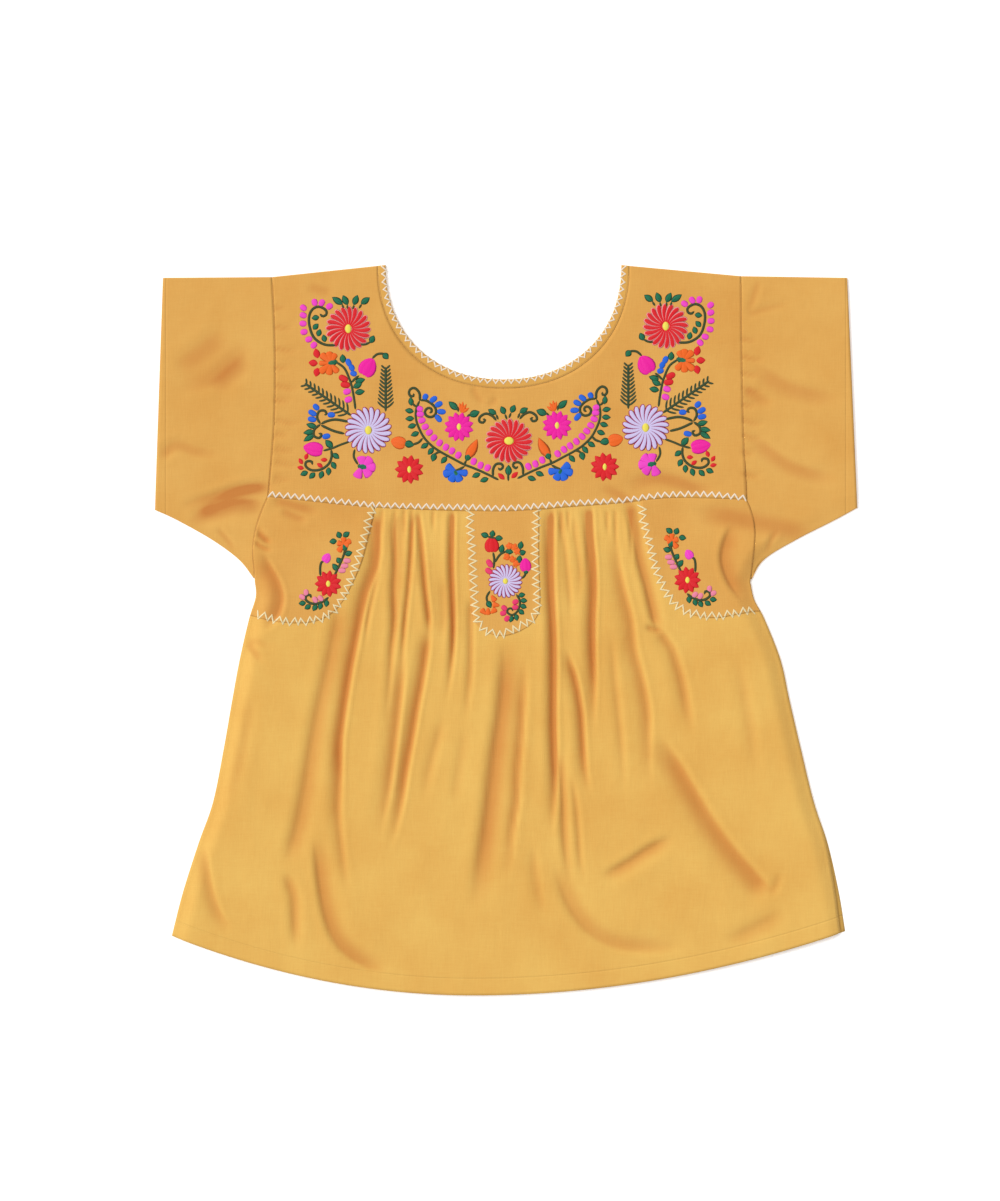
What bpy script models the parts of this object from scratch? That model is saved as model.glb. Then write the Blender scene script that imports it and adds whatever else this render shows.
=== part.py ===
"""A cotton blouse with an embroidered yoke, laid flat on a table with its front up.

Metres, +Z up, +Y towards the neck, +X to the viewer's right, origin on the table under the middle.
Sizes below are in millimetres, and MM turns them into metres.
"""

import math
from collections import namedtuple

import bmesh
import bpy
import numpy as np

MM = 0.001

# Cloth and seams
CLOTH = 1.0  # wall of one layer of cloth, with its turned edges pressed in
BAND_CLOTH = 1.2  # the neck band is doubled cloth
SEAM = 0.3  # space between two pieces at a seam
LAYER_SPACE = 0.4  # space between the back and the front where they lie closest
PATCH_SPACE = 0.45  # space between the front and a patch sewn on it
BACK_MID = CLOTH / 2
FRONT_MID = CLOTH + LAYER_SPACE + CLOTH / 2
FOLD_RADIUS = (FRONT_MID - BACK_MID) / 2
FOLD_REACH = FOLD_RADIUS + CLOTH / 2
FOLD_ANGLES = (45, 0, -45)

# Neck: a superellipse about a centre on the shoulder line
NECK_X = -2.7
NECK_TOP = 328.5
NECK_HALF_WIDTH = 106.0
NECK_DEPTH = 102.0
NECK_POWER = 2.15
NECK_BAND = 7.0
SHOULDER_SLOPE = 0.10  # drop of the shoulder for each millimetre outwards

# Yoke
YOKE_LAP = 6.0  # how far the gathered front runs up under the yoke
YOKE_LAP_INSET = 0.99  # and narrower there, clear of the sleeves
YOKE_LIFT = 1.5  # the yoke's hem lies on the front, so it stands this much higher
YOKE_LIFT_FLAT = 22.0
YOKE_LIFT_END = 48.0

# Hem: two parabolas that meet at the lowest point
HEM_LOW_X = -30.0
HEM_LOW_Y = -328.5
VENT_TOP_Y = -155.0
VENT_SHOW = 4.5  # the back shows this far beyond the front at the right vent's foot

# Relief of the upper layer
EDGE_FADE = 16.0  # the front comes down to the back over this distance
BACK_GATHER_ROOM = 1.0  # the front's troughs stay this high, clear of the back's gathers
BACK_GATHER_HEIGHT = 0.8
BACK_GATHERS = 8
BACK_GATHER_HALF_WIDTH = 130.0
BACK_GATHER_FLARE = 0.35
BACK_GATHER_LENGTH = 200.0
BACK_GATHER_RISE = 45.0
BACK_GATHER_FALL = 120.0
FLOOR_SOFTNESS = 0.3  # rounds the place where a trough meets the layer below, in square millimetres
FOLD_BULGE = 0.16  # cloth pushed up beside a trough, as a share of its depth

# How many steps each stretch has
YOKE_SIDE_STEPS = 10
YOKE_HEM_STEPS = 22
YOKE_SPOKES = (0.0, 0.25, 0.5, 0.7, 0.86, 1.0)
NECK_STEPS = 2 * YOKE_SIDE_STEPS + YOKE_HEM_STEPS
ARMHOLE_STEPS = 6
SIDE_STEPS = 16
SLEEVE_COLUMNS = 7
CURVE_SAMPLES = 40
TROUGH_SAMPLES = 24

Station = namedtuple("Station", "left_x left_y right_x right_y")
# The outline of the body, down from the yoke's corners
ARMHOLE = (
    Station(-214.5, 120.0, 216.0, 117.5),
    Station(-220.0, 108.0, 220.5, 106.0),
    Station(-225.0, 93.0, 223.5, 92.0),
    Station(-228.3, 72.0, 222.3, 70.0),
    Station(-226.5, 45.0, 219.3, 43.0),
)
SIDE_SEAM = (
    Station(-226.5, 45.0, 219.3, 43.0),
    Station(-225.5, 30.0, 223.0, 27.0),
    Station(-231.5, 10.0, 232.0, 10.0),
    Station(-240.0, -27.0, 246.5, -27.0),
    Station(-247.0, -65.0, 254.5, -63.0),
    Station(-254.5, -108.0, 265.0, -108.0),
    Station(-264.0, -155.0, 276.5, -155.0),
    Station(-277.0, -192.0, 289.0, -192.0),
    Station(-291.0, -236.0, 299.0, -236.0),
    Station(-301.0, -275.0, 304.7, -271.0),
)
# The seam between yoke and sleeve, down from the shoulder
YOKE_SIDE = (
    Station(-211.0, 317.7, 211.0, 318.5),
    Station(-208.5, 262.0, 211.5, 262.0),
    Station(-208.5, 205.0, 212.5, 205.0),
    Station(-211.0, 160.0, 214.0, 160.0),
    Station(-214.5, 120.0, 216.0, 117.5),
)
# The sleeve's underarm seam, out from the underarm to the cuff
UNDERARM = (
    Station(-226.5, 45.0, 219.3, 43.0),
    Station(-240.7, 63.0, 231.7, 63.0),
    Station(-265.0, 81.0, 260.6, 81.0),
    Station(-297.0, 99.0, 294.0, 98.0),
    Station(-316.6, 108.0, 316.0, 110.0),
)
CUFF_TOP = Station(-309.0, 317.0, 306.5, 317.0)
CUFF_FOOT = Station(-316.6, 108.0, 316.0, 110.0)

Point = namedtuple("Point", "x y")
# The yoke's lower edge on the front, which sags as the blouse lies
YOKE_HEM = (
    Point(-214.5, 120.0),
    Point(-118.0, 110.5),
    Point(-6.0, 107.0),
    Point(57.0, 111.0),
    Point(102.0, 114.5),
    Point(150.0, 119.0),
    Point(216.0, 117.5),
)

Warp = namedtuple("Warp", "place yoke_x hem_x columns")
# Where the front's threads run from the yoke to the hem: close together in the gathers
FRONT_WARPS = (
    Warp("left side seam", -214.5, -301.0, 0),
    Warp("left gathers start", -124.0, -205.0, 10),
    Warp("left gathers end", -35.0, -58.0, 22),
    Warp("right gathers start", 29.0, 44.0, 9),
    Warp("right gathers end", 126.0, 205.0, 22),
    Warp("right side seam", 216.0, 304.7, 9),
)
BACK_WARPS = (
    Warp("left side seam", -214.5, -301.0, 0),
    Warp("gathers start", -130.0, -215.0, 5),
    Warp("gathers end", 130.0, 215.0, 40),
    Warp("right side seam", 216.0, 304.7, 5),
)

Height = namedtuple("Height", "y lift")
# How high the upper layer stands off the lower one, from the shoulder to the hem
LOFT = (
    Height(330.0, 0.2),
    Height(220.0, 0.8),
    Height(135.0, 0.9),
    Height(105.0, 0.9),
    Height(70.0, 4.0),
    Height(0.0, 5.4),
    Height(-150.0, 5.4),
    Height(-260.0, 3.8),
    Height(-329.0, 1.6),
)

NARROWEST_FOLD = 5.0  # half a trough; anything narrower falls between the grid's columns

# A trough: how deep it is, how wide on its two sides (for a path that runs down, the left and then
# the right), which share of its length it takes to form and to die out, and the path of its bottom.
Trough = namedtuple("Trough", "name depth left right rise fall path")
# Tucks start at the yoke's edge, creases anywhere
TUCKS = (
    Trough("left patch side", 5.0, 7, 2.2, 0.04, 0.25,
           ((-115, 106), (-116, 62), (-124.5, 38), (-130, 16), (-134, -5), (-138, -25), (-141.5, -45),
            (-145.5, -72), (-149, -99), (-149.5, -126), (-150, -153), (-151, -183))),
    Trough("left band", 1.8, 4, 5, 0.06, 0.40, ((-97, 105), (-97, 70), (-99, 36), (-101, 0), (-103, -32))),
    Trough("left tuck", 4.2, 3.0, 1.8, 0.05, 0.20,
           ((-80, 106), (-77, 86), (-74.8, 63), (-72.5, 36), (-69.5, 9), (-70, -8))),
    Trough("left inner tuck", 6.0, 3.0, 1.8, 0.04, 0.50,
           ((-48.3, 107), (-49, 63), (-48.2, 36), (-47.4, 9), (-48.2, -18), (-51, -45), (-56, -72))),
    Trough("right of centre patch", 6.4, 4.8, 2.2, 0.04, 0.30,
           ((40.8, 110), (40.2, 76), (40.8, 40), (42.3, 8), (43, -14), (43, -47), (42.8, -78),
            (43.4, -108), (43.6, -138), (42, -165), (38, -192))),
    Trough("right thin tuck", 1.3, 3.4, 2.0, 0.08, 0.30, ((49, 110), (52, 81), (57, 30), (58, 4))),
    Trough("right tuck", 6.0, 5.6, 1.8, 0.04, 0.45,
           ((75.6, 112), (76.6, 86), (78.8, 62), (79.6, 36), (78.4, 9), (78.4, -18), (79, -45), (78.5, -75),
            (78.5, -100))),
    Trough("right soft tuck", 3.0, 8, 2.6, 0.25, 0.35,
           ((97, 100), (100, 63), (105, 36), (112, 9), (115, -18), (122, -45), (127, -72), (127.5, -99),
            (128, -126), (131, -155))),
    Trough("right patch side", 3.8, 3.0, 6, 0.06, 0.14,
           ((109, 113), (115, 89), (119.5, 62), (126, 38), (130, 20), (133, 8), (138, -3))),
)
CREASES = (
    Trough("outer left", 2.8, 5, 9, 0.12, 0.12,
           ((-149, 30), (-152, 9), (-157, -18), (-163, -45), (-169, -72), (-174, -99), (-178.5, -126),
            (-183, -153), (-189, -180), (-198, -214))),
    Trough("outer left foot", 2.6, 4, 5, 0.20, 0.40,
           ((-200, -216), (-195.5, -228), (-191.5, -240), (-190.5, -261), (-189, -290))),
    Trough("left patch side foot", 2.0, 5, 3, 0.35, 0.45,
           ((-152, -130), (-151, -165), (-147, -205), (-141, -245))),
    Trough("left tuck tail", 4.4, 6.5, 2.2, 0.12, 0.35,
           ((-69, 4), (-71.5, -18), (-75.5, -45), (-80.5, -72), (-85, -99), (-90, -126), (-94, -153),
            (-100, -180), (-107, -200))),
    Trough("left middle", 3.4, 7, 2.4, 0.25, 0.40,
           ((-91, -14), (-94.5, -50), (-99, -90), (-102, -115), (-106, -145), (-112, -175), (-115, -195))),
    Trough("middle", 4.0, 5, 11, 0.20, 0.30,
           ((-1, -2), (-2.5, -45), (-5, -72), (-9, -99), (-12.5, -126), (-15.5, -153), (-19, -180),
            (-23, -207), (-27, -234), (-33, -261))),
    Trough("middle right", 3.4, 6, 2.6, 0.25, 0.35,
           ((17, -18), (16, -45), (14.5, -72), (13, -99), (10.5, -126), (9.5, -153), (5.5, -180), (3, -207),
            (-1, -234))),
    Trough("right inner", 4.4, 5, 2.0, 0.20, 0.35,
           ((53.6, -14), (57, -28), (62.4, -45), (67.2, -72), (69, -99), (71, -126), (76, -152))),
    Trough("right inner tail", 2.8, 3, 4, 0.22, 0.40,
           ((48, -100), (49, -126), (51, -153), (51.5, -180), (54, -207), (58.5, -234))),
    Trough("right shoulder of skirt", 3.0, 6, 3, 0.12, 0.40,
           ((135, 4), (142, -7), (149, -17), (154, -32), (158, -46), (163, -72), (167.5, -99))),
    Trough("right slant", 3.8, 13, 4, 0.22, 0.10,
           ((134, -92), (143, -106), (155, -124), (167.5, -145), (180, -166), (192, -184), (207, -203),
            (222, -220), (238, -238))),
    Trough("right slant end", 1.4, 3, 4, 0.25, 0.60, ((236, -240), (242, -230), (248, -214))),
    Trough("right cross crease", 3.0, 7, 3, 0.30, 0.30,
           ((82, -223), (98, -215), (112, -207), (130, -195), (153, -184))),
    Trough("left hem curl", 3.4, 3.0, 10, 0.25, 0.25,
           ((-173, -180), (-170.5, -205), (-167.5, -230), (-163, -254), (-156, -274), (-145, -289),
            (-126, -301), (-100, -308))),
    Trough("right hem curl", 2.4, 4, 10, 0.25, 0.35,
           ((43, -205), (50, -232), (62, -256), (80, -274), (104, -284), (140, -286), (172, -280))),
    Trough("left corner", 2.4, 8, 2.6, 0.25, 0.30,
           ((-273, -190), (-269.6, -211), (-265, -236), (-257, -257), (-245, -272))),
    Trough("right corner", 1.8, 8, 6, 0.40, 0.40, ((190, -280), (213, -273), (238, -260), (255, -250))),
    Trough("left armpit", 3.4, 11, 2.4, 0.25, 0.30,
           ((-221, 72), (-212, 55), (-205, 42), (-202, 29), (-204.5, 16), (-211, 7), (-222, -3))),
    Trough("left armpit low", 1.2, 2.5, 4, 0.30, 0.50, ((-238, -10), (-222, -12), (-206, -18))),
    Trough("left armhole crease", 1.4, 2.5, 3, 0.20, 0.50, ((-226, 93), (-218, 84), (-208, 75))),
    Trough("right armpit", 3.0, 2.4, 10, 0.25, 0.30,
           ((206, 98), (200, 88), (195.5, 77), (193.5, 65), (196, 52), (203, 38), (216, 22))),
    Trough("right sleeve foot", 3.0, 9, 8, 0.28, 0.25,
           ((166, 104), (195, 103), (226, 97), (253, 91), (282, 84))),
    Trough("left sleeve foot", 3.6, 9, 4, 0.30, 0.25, ((-284, 104), (-261, 109), (-240, 114), (-214, 112))),
    Trough("left sleeve foot upper", 2.2, 7, 3, 0.35, 0.25,
           ((-264, 114), (-246, 123), (-226, 129), (-210, 131))),
    Trough("left sleeve slant", 1.8, 11, 6, 0.40, 0.40, ((-226, 262), (-262, 228), (-300, 214))),
    Trough("right sleeve upper", 2.2, 9, 5, 0.30, 0.40, ((218, 240), (256, 218), (306, 206))),
    Trough("right sleeve lower", 2.6, 8, 4, 0.25, 0.40, ((218, 176), (256, 148), (304, 134))),
)

# Outlines of the sewn-on patches. Their sides start under the yoke and are cut off at its edge.
LEFT_PATCH = (
    Point(-118.5, 130.0),
    Point(-119.5, 108.0),
    Point(-124.0, 85.0),
    Point(-130.0, 62.0),
    Point(-139.0, 41.0),
    Point(-149.5, 23.0),
    Point(-162.0, 12.0),
    Point(-177.0, 7.0),
    Point(-195.0, 6.5),
    Point(-214.0, 9.0),
    Point(-260.0, 17.0),
    Point(-260.0, 130.0),
)
RIGHT_PATCH = (
    Point(250.0, 130.0),
    Point(250.0, 15.0),
    Point(220.0, 16.5),
    Point(204.0, 13.5),
    Point(188.0, 11.0),
    Point(172.0, 12.5),
    Point(159.0, 18.0),
    Point(148.0, 29.0),
    Point(139.0, 43.0),
    Point(131.0, 62.0),
    Point(125.5, 82.0),
    Point(121.5, 103.0),
    Point(120.5, 130.0),
)
CENTRE_PATCH = (
    Point(29.0, 130.0),
    Point(29.0, 60.0),
    Point(30.0, 30.0),
    Point(28.5, 15.0),
    Point(21.0, 5.0),
    Point(9.0, -2.0),
    Point(-4.0, -5.0),
    Point(-17.0, -2.0),
    Point(-28.0, 7.0),
    Point(-32.0, 22.0),
    Point(-34.5, 60.0),
    Point(-35.0, 130.0),
)

Finish = namedtuple("Finish", "red green blue roughness")
GOLD_COTTON = Finish(0.76, 0.42, 0.098, 0.85)
GOLD_COTTON_DOUBLED = Finish(0.72, 0.39, 0.09, 0.85)
PATCH_TOP_STEPS = 12
PATCH_MARGIN = 20.0
CUTTER_TOP = 30.0
CUTTER_FOOT = -10.0


def smoothstep(t):
    """0 to 1 with soft ends."""
    t = np.clip(t, 0.0, 1.0)
    return t * t * (3 - 2 * t)


def smooth_path(points, samples=CURVE_SAMPLES):
    """A smooth line through the points, as evenly spaced samples + 1 points."""
    knots = np.array([(p[0], p[1]) for p in points], float)
    ends = np.vstack([2 * knots[0] - knots[1], knots, 2 * knots[-1] - knots[-2]])
    fine = []
    for before, start, end, after in zip(ends, ends[1:], ends[2:], ends[3:]):
        for t in np.linspace(0, 1, CURVE_SAMPLES, endpoint=False):
            fine.append(
                0.5 * (2 * start + (end - before) * t + (2 * before - 5 * start + 4 * end - after) * t**2
                       + (3 * start - before - 3 * end + after) * t**3)
            )
    fine.append(knots[-1])
    return evenly(np.array(fine), samples)


def evenly(line, samples):
    """The same line with samples + 1 points at even distances along it."""
    run = np.concatenate([[0], np.cumsum(np.hypot(*np.diff(line, axis=0).T))])
    at = np.linspace(0, run[-1], samples + 1)
    return np.column_stack([np.interp(at, run, line[:, 0]), np.interp(at, run, line[:, 1])])


def side_points(stations, side):
    """The left or the right column of a table of stations."""
    return [(getattr(s, side + "_x"), getattr(s, side + "_y")) for s in stations]


def hem_y(x):
    """The height in plan of the bottom edge at each x."""
    x = np.asarray(x, float)
    left, right = SIDE_SEAM[-1][:2], SIDE_SEAM[-1][2:]
    k_left = (left[1] - HEM_LOW_Y) / (left[0] - HEM_LOW_X) ** 2
    k_right = (right[1] - HEM_LOW_Y) / (right[0] - HEM_LOW_X) ** 2
    return HEM_LOW_Y + np.where(x < HEM_LOW_X, k_left, k_right) * (x - HEM_LOW_X) ** 2


YOKE_HEM_LINE = smooth_path(YOKE_HEM)


def yoke_hem_y(x):
    """The height in plan of the yoke's lower edge on the front."""
    return np.interp(x, YOKE_HEM_LINE[:, 0], YOKE_HEM_LINE[:, 1])


def neck_line(outwards, steps):
    """The neck curve from the left shoulder down and up to the right, this far outside the edge."""
    half, depth = NECK_HALF_WIDTH + outwards, NECK_DEPTH + outwards
    top = NECK_TOP - SHOULDER_SLOPE * outwards - FOLD_REACH
    line = []
    for angle in np.linspace(math.pi, 2 * math.pi, 20 * CURVE_SAMPLES):
        c, s = math.cos(angle), math.sin(angle)
        x = math.copysign(abs(c) ** (2 / NECK_POWER), c)
        y = math.copysign(abs(s) ** (2 / NECK_POWER), s)
        line.append((NECK_X + half * x, top + depth * min(y, 0.0)))
    return evenly(np.array(line), steps)


def closed_edges():
    """The lines where the front meets the back: shoulders, sleeve folds, underarms and sides."""
    lines = []
    for side, sign in (("left", -1), ("right", 1)):
        neck_end = (NECK_X + sign * NECK_HALF_WIDTH, NECK_TOP)
        shoulder = side_points(YOKE_SIDE[:1], side)[0]
        cuff = side_points([CUFF_TOP], side)[0]
        lines.append(np.array([neck_end, shoulder, cuff]))
        lines.append(smooth_path(side_points(UNDERARM, side)))
        lines.append(smooth_path(side_points(SIDE_SEAM, side)))
    return lines


def to_line(x, y, line):
    """How far each point is from a line, signed by side, and the share of the line at the nearest point."""
    starts, steps = line[:-1], np.diff(line, axis=0)
    lengths = np.hypot(*steps.T)
    run = np.concatenate([[0], np.cumsum(lengths)])
    off_x = x[..., None] - starts[:, 0]
    off_y = y[..., None] - starts[:, 1]
    t = np.clip((off_x * steps[:, 0] + off_y * steps[:, 1]) / lengths**2, 0, 1)
    gap_x = off_x - t * steps[:, 0]
    gap_y = off_y - t * steps[:, 1]
    distance = np.hypot(gap_x, gap_y)
    nearest = distance.argmin(-1)[..., None]
    pick = lambda a: np.take_along_axis(a, nearest, -1)[..., 0]
    side = np.sign(pick(steps[:, 0] * off_y - steps[:, 1] * off_x))
    share = (run[nearest[..., 0]] + pick(t * lengths)) / run[-1]
    return pick(distance) * side, share


CLOSED_EDGES = closed_edges()


def relief(x, y, troughs=TUCKS + CREASES):
    """How far the upper layer stands above its lowest place, at points in plan."""
    x, y = np.asarray(x, float), np.asarray(y, float)
    loft = np.interp(-y, [-h.y for h in LOFT], [h.lift for h in LOFT])
    below_yoke = yoke_hem_y(x) - y
    lift = loft.copy()
    for trough in troughs:
        away, share = to_line(x, y, smooth_path(trough.path, TROUGH_SAMPLES))
        width = np.maximum(np.where(away < 0, trough.left, trough.right), NARROWEST_FOLD)
        form = smoothstep(share / trough.rise) * smoothstep((1 - share) / trough.fall)
        dip = np.exp(-((away / width) ** 2))
        bulge = FOLD_BULGE * np.exp(-(((np.abs(away) - 2 * width) / width) ** 2))
        lift += trough.depth * form * (bulge - dip)
    room = BACK_GATHER_ROOM * smoothstep(below_yoke / BACK_GATHER_RISE)
    spread = lift - room
    lift = room + 0.5 * (spread + np.sqrt(spread**2 + FLOOR_SOFTNESS))
    nearest = np.min([np.abs(to_line(x, y, line)[0]) for line in CLOSED_EDGES], axis=0)
    return lift * smoothstep(nearest / EDGE_FADE)


def yoke_lift(x, y):
    """The yoke's extra height near its lower edge, where it lies on the gathered front."""
    above = y - yoke_hem_y(x)
    return YOKE_LIFT * (1 - smoothstep((above - YOKE_LIFT_FLAT) / (YOKE_LIFT_END - YOKE_LIFT_FLAT)))


def back_gathers(x, y):
    """How far the back stands off the table: gathers below its seam, pressed nearly flat."""
    below = back_seam_y(x) - y
    straight_x = x / (1 + BACK_GATHER_FLARE * below / BACK_GATHER_LENGTH)
    wave = 0.5 - 0.5 * np.cos(math.pi * BACK_GATHERS * (straight_x / BACK_GATHER_HALF_WIDTH + 1))
    inside = np.abs(straight_x) < BACK_GATHER_HALF_WIDTH
    fade_in = smoothstep(below / BACK_GATHER_RISE)
    fade_out = smoothstep((BACK_GATHER_LENGTH - below) / BACK_GATHER_FALL)
    return BACK_GATHER_HEIGHT * wave * fade_in * fade_out * inside


def lifted(plan, z):
    """Points in plan, with a height for each."""
    return np.concatenate([plan, np.broadcast_to(z, plan.shape[:-1])[..., None]], axis=-1)


def panel_plan(top, foot, left, right):
    """A grid of points in plan between four lines. The side lines bend only the outer columns."""
    run = np.concatenate([[0], np.cumsum(np.hypot(*np.diff(left, axis=0).T))])
    down = (run / run[-1])[:, None, None]
    across = np.linspace(0, 1, len(top))[None, :, None]
    straight = top[None] * (1 - down) + foot[None] * down
    bend_left = (left - straight[:, 0])[:, None]
    bend_right = (right - straight[:, -1])[:, None]
    return straight + (1 - across) ** 2 * bend_left + across**2 * bend_right


def warp_lines(warps, end):
    """The x of each column at the yoke or at the hem."""
    xs = [getattr(warps[0], end)]
    for before, warp in zip(warps, warps[1:]):
        start, stop = getattr(before, end), getattr(warp, end)
        xs += list(np.linspace(start, stop, warp.columns + 1)[1:])
    return np.array(xs)


def turn(row, outwards, top_z, foot_z):
    """Rows that carry the cloth round a fold, from above down to below, at one edge of a leaf."""
    middle, radius = (top_z + foot_z) / 2, (top_z - foot_z) / 2
    rows = []
    for angle in FOLD_ANGLES:
        c, s = math.cos(math.radians(angle)), math.sin(math.radians(angle))
        rows.append(lifted(row[:, :2] + np.asarray(outwards) * radius * c, middle + radius * s))
    return rows


def folded_ring(front, back, top_z, foot_z):
    """Two leaves round the neck, joined by a rounded fold along each shoulder."""
    right = turn(front[-1], (0.0, 1.0), top_z, foot_z)
    left = turn(front[0], (0.0, 1.0), top_z, foot_z)[::-1]
    return np.array([*front, *right, *back, *left])


def normals(grid):
    """The upward normal at each point of a grid of rows down and columns to the right."""
    down = np.gradient(grid, axis=0)
    across = np.gradient(grid, axis=1)
    normal = np.cross(across, -down)
    normal *= np.sign(normal[..., 2:3])
    return normal / np.linalg.norm(normal, axis=-1, keepdims=True)


def cotton(name, finish):
    """A matt cloth material."""
    material = bpy.data.materials.new(name)
    material.use_nodes = True
    shader = material.node_tree.nodes["Principled BSDF"]
    shader.inputs["Base Color"].default_value = (finish.red, finish.green, finish.blue, 1)
    shader.inputs["Roughness"].default_value = finish.roughness
    shader.inputs["Metallic"].default_value = 0.0
    return material


def cloth_piece(name, grid, material, thickness=CLOTH, ring=False):
    """A wall of cloth whose middle runs through a grid of points. A ring's last row joins its first."""
    grid = np.asarray(grid) * MM
    rows, columns = grid.shape[:2]
    at = np.arange(rows * columns).reshape(rows, columns)
    if ring:
        at = np.vstack([at, at[:1]])
    upper_left, upper_right = at[:-1, :-1].ravel(), at[:-1, 1:].ravel()
    lower_left, lower_right = at[1:, :-1].ravel(), at[1:, 1:].ravel()
    faces = [
        *np.column_stack([upper_left, lower_left, lower_right]).tolist(),
        *np.column_stack([upper_left, lower_right, upper_right]).tolist(),
    ]
    mesh = bpy.data.meshes.new(name)
    mesh.from_pydata([tuple(p) for p in grid.reshape(-1, 3)], [], faces)
    mesh.materials.append(material)
    mesh.shade_smooth()
    obj = bpy.data.objects.new(name, mesh)
    bpy.context.scene.collection.objects.link(obj)
    wall = obj.modifiers.new("Wall", "SOLIDIFY")
    wall.thickness = thickness * MM
    wall.offset = 0
    wall.use_even_offset = True
    return obj


def cutter(name, outline):
    """An upright block of this outline, which keeps what lies inside it."""
    shape = bmesh.new()
    ring = [shape.verts.new((p[0] * MM, p[1] * MM, CUTTER_FOOT * MM)) for p in outline]
    base = shape.faces.new(ring)
    raised = bmesh.ops.extrude_face_region(shape, geom=[base])
    tops = [v for v in raised["geom"] if isinstance(v, bmesh.types.BMVert)]
    bmesh.ops.translate(shape, verts=tops, vec=(0, 0, (CUTTER_TOP - CUTTER_FOOT) * MM))
    bmesh.ops.recalc_face_normals(shape, faces=shape.faces)
    mesh = bpy.data.meshes.new(name)
    shape.to_mesh(mesh)
    shape.free()
    obj = bpy.data.objects.new(name, mesh)
    obj.display_type = "WIRE"
    obj.hide_render = True
    bpy.context.scene.collection.objects.link(obj)
    return obj


def sleeve_seam(side, outwards):
    """The seam line down the sleeve, moved away from the middle, as yoke and armhole stretches."""
    sign = -1 if side == "left" else 1
    yoke = smooth_path(side_points(YOKE_SIDE, side), YOKE_SIDE_STEPS)
    armhole = smooth_path(side_points(ARMHOLE, side), ARMHOLE_STEPS)
    yoke[0, 1] -= FOLD_REACH
    shift = np.array([sign * outwards, 0.0])
    return yoke + shift, armhole + shift


def back_seam_y(x):
    """The height in plan of the straight seam between the back yoke and the back body."""
    corners = YOKE_SIDE[-1]
    return np.interp(x, [corners.left_x, corners.right_x], [corners.left_y, corners.right_y])


def yoke_outer_edge(front):
    """The yoke's outline from the left shoulder, down, across and up to the right shoulder."""
    left = sleeve_seam("left", -SEAM / 2)[0]
    right = sleeve_seam("right", -SEAM / 2)[0]
    xs = np.linspace(left[-1, 0], right[-1, 0], YOKE_HEM_STEPS + 1)[1:-1]
    ys = yoke_hem_y(xs) if front else back_seam_y(xs)
    return np.vstack([left, np.column_stack([xs, ys]), right[::-1]])


def make_yoke(material):
    """One cut of cloth folded at the shoulders, with the neck taken out of it."""
    inner = neck_line(NECK_BAND + SEAM, NECK_STEPS)
    front_plan = np.stack([inner + (yoke_outer_edge(True) - inner) * s for s in YOKE_SPOKES], axis=1)
    back_plan = np.stack([inner + (yoke_outer_edge(False) - inner) * s for s in YOKE_SPOKES], axis=1)
    x, y = front_plan[..., 0], front_plan[..., 1]
    front = lifted(front_plan, FRONT_MID + relief(x, y, CREASES) + yoke_lift(x, y))
    front[0, :, 2] = front[-1, :, 2] = FRONT_MID
    back = lifted(back_plan, BACK_MID)[::-1]
    return cloth_piece("yoke", folded_ring(front, back, FRONT_MID, BACK_MID), material, ring=True)


def make_neck_band(material):
    """The doubled band that finishes the neck, folded at the shoulders with the yoke."""
    plan = np.stack([neck_line(0.0, NECK_STEPS), neck_line(NECK_BAND, NECK_STEPS)], axis=1)
    foot_z = BAND_CLOTH / 2
    top_z = BAND_CLOTH * 1.5 + LAYER_SPACE
    front = lifted(plan, top_z + relief(plan[..., 0], plan[..., 1], CREASES))
    front[0, :, 2] = front[-1, :, 2] = top_z
    back = lifted(plan, foot_z)[::-1]
    ring = folded_ring(front, back, top_z, foot_z)
    return cloth_piece("neck_band", ring, material, BAND_CLOTH, ring=True)


def body_sides(front):
    """The left and right edges of a body panel, from the yoke to the hem."""
    sides = []
    for side in ("left", "right"):
        sign = -1 if side == "left" else 1
        armhole = sleeve_seam(side, -SEAM / 2)[1]
        seam = smooth_path(side_points(SIDE_SEAM, side), SIDE_STEPS)
        seam[0] = armhole[-1]
        if front and side == "right":
            vent = smoothstep((VENT_TOP_Y - seam[:, 1]) / (VENT_TOP_Y - seam[-1, 1]))
            seam[:, 0] -= VENT_SHOW * vent
        sides.append(np.vstack([armhole, seam[1:]]))
    return sides


def front_grid():
    """The front body's middle surface: a lap under the yoke, then rows down to the hem."""
    left, right = body_sides(front=True)
    top_x = warp_lines(FRONT_WARPS, "yoke_x")
    hem_x = warp_lines(FRONT_WARPS, "hem_x")
    top_x = np.interp(top_x, [top_x[0], top_x[-1]], [left[0, 0], right[0, 0]])
    hem_x = np.interp(hem_x, [hem_x[0], hem_x[-1]], [left[-1, 0], right[-1, 0]])
    top = np.column_stack([top_x, yoke_hem_y(top_x)])
    foot = np.column_stack([hem_x, hem_y(hem_x)])
    foot[0], foot[-1] = left[-1], right[-1]
    plan = panel_plan(top, foot, left, right)
    lap = plan[:1] * (YOKE_LAP_INSET, 1.0) + (0.0, YOKE_LAP)
    plan = np.concatenate([lap, plan])
    return lifted(plan, FRONT_MID + relief(plan[..., 0], plan[..., 1]))


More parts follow.
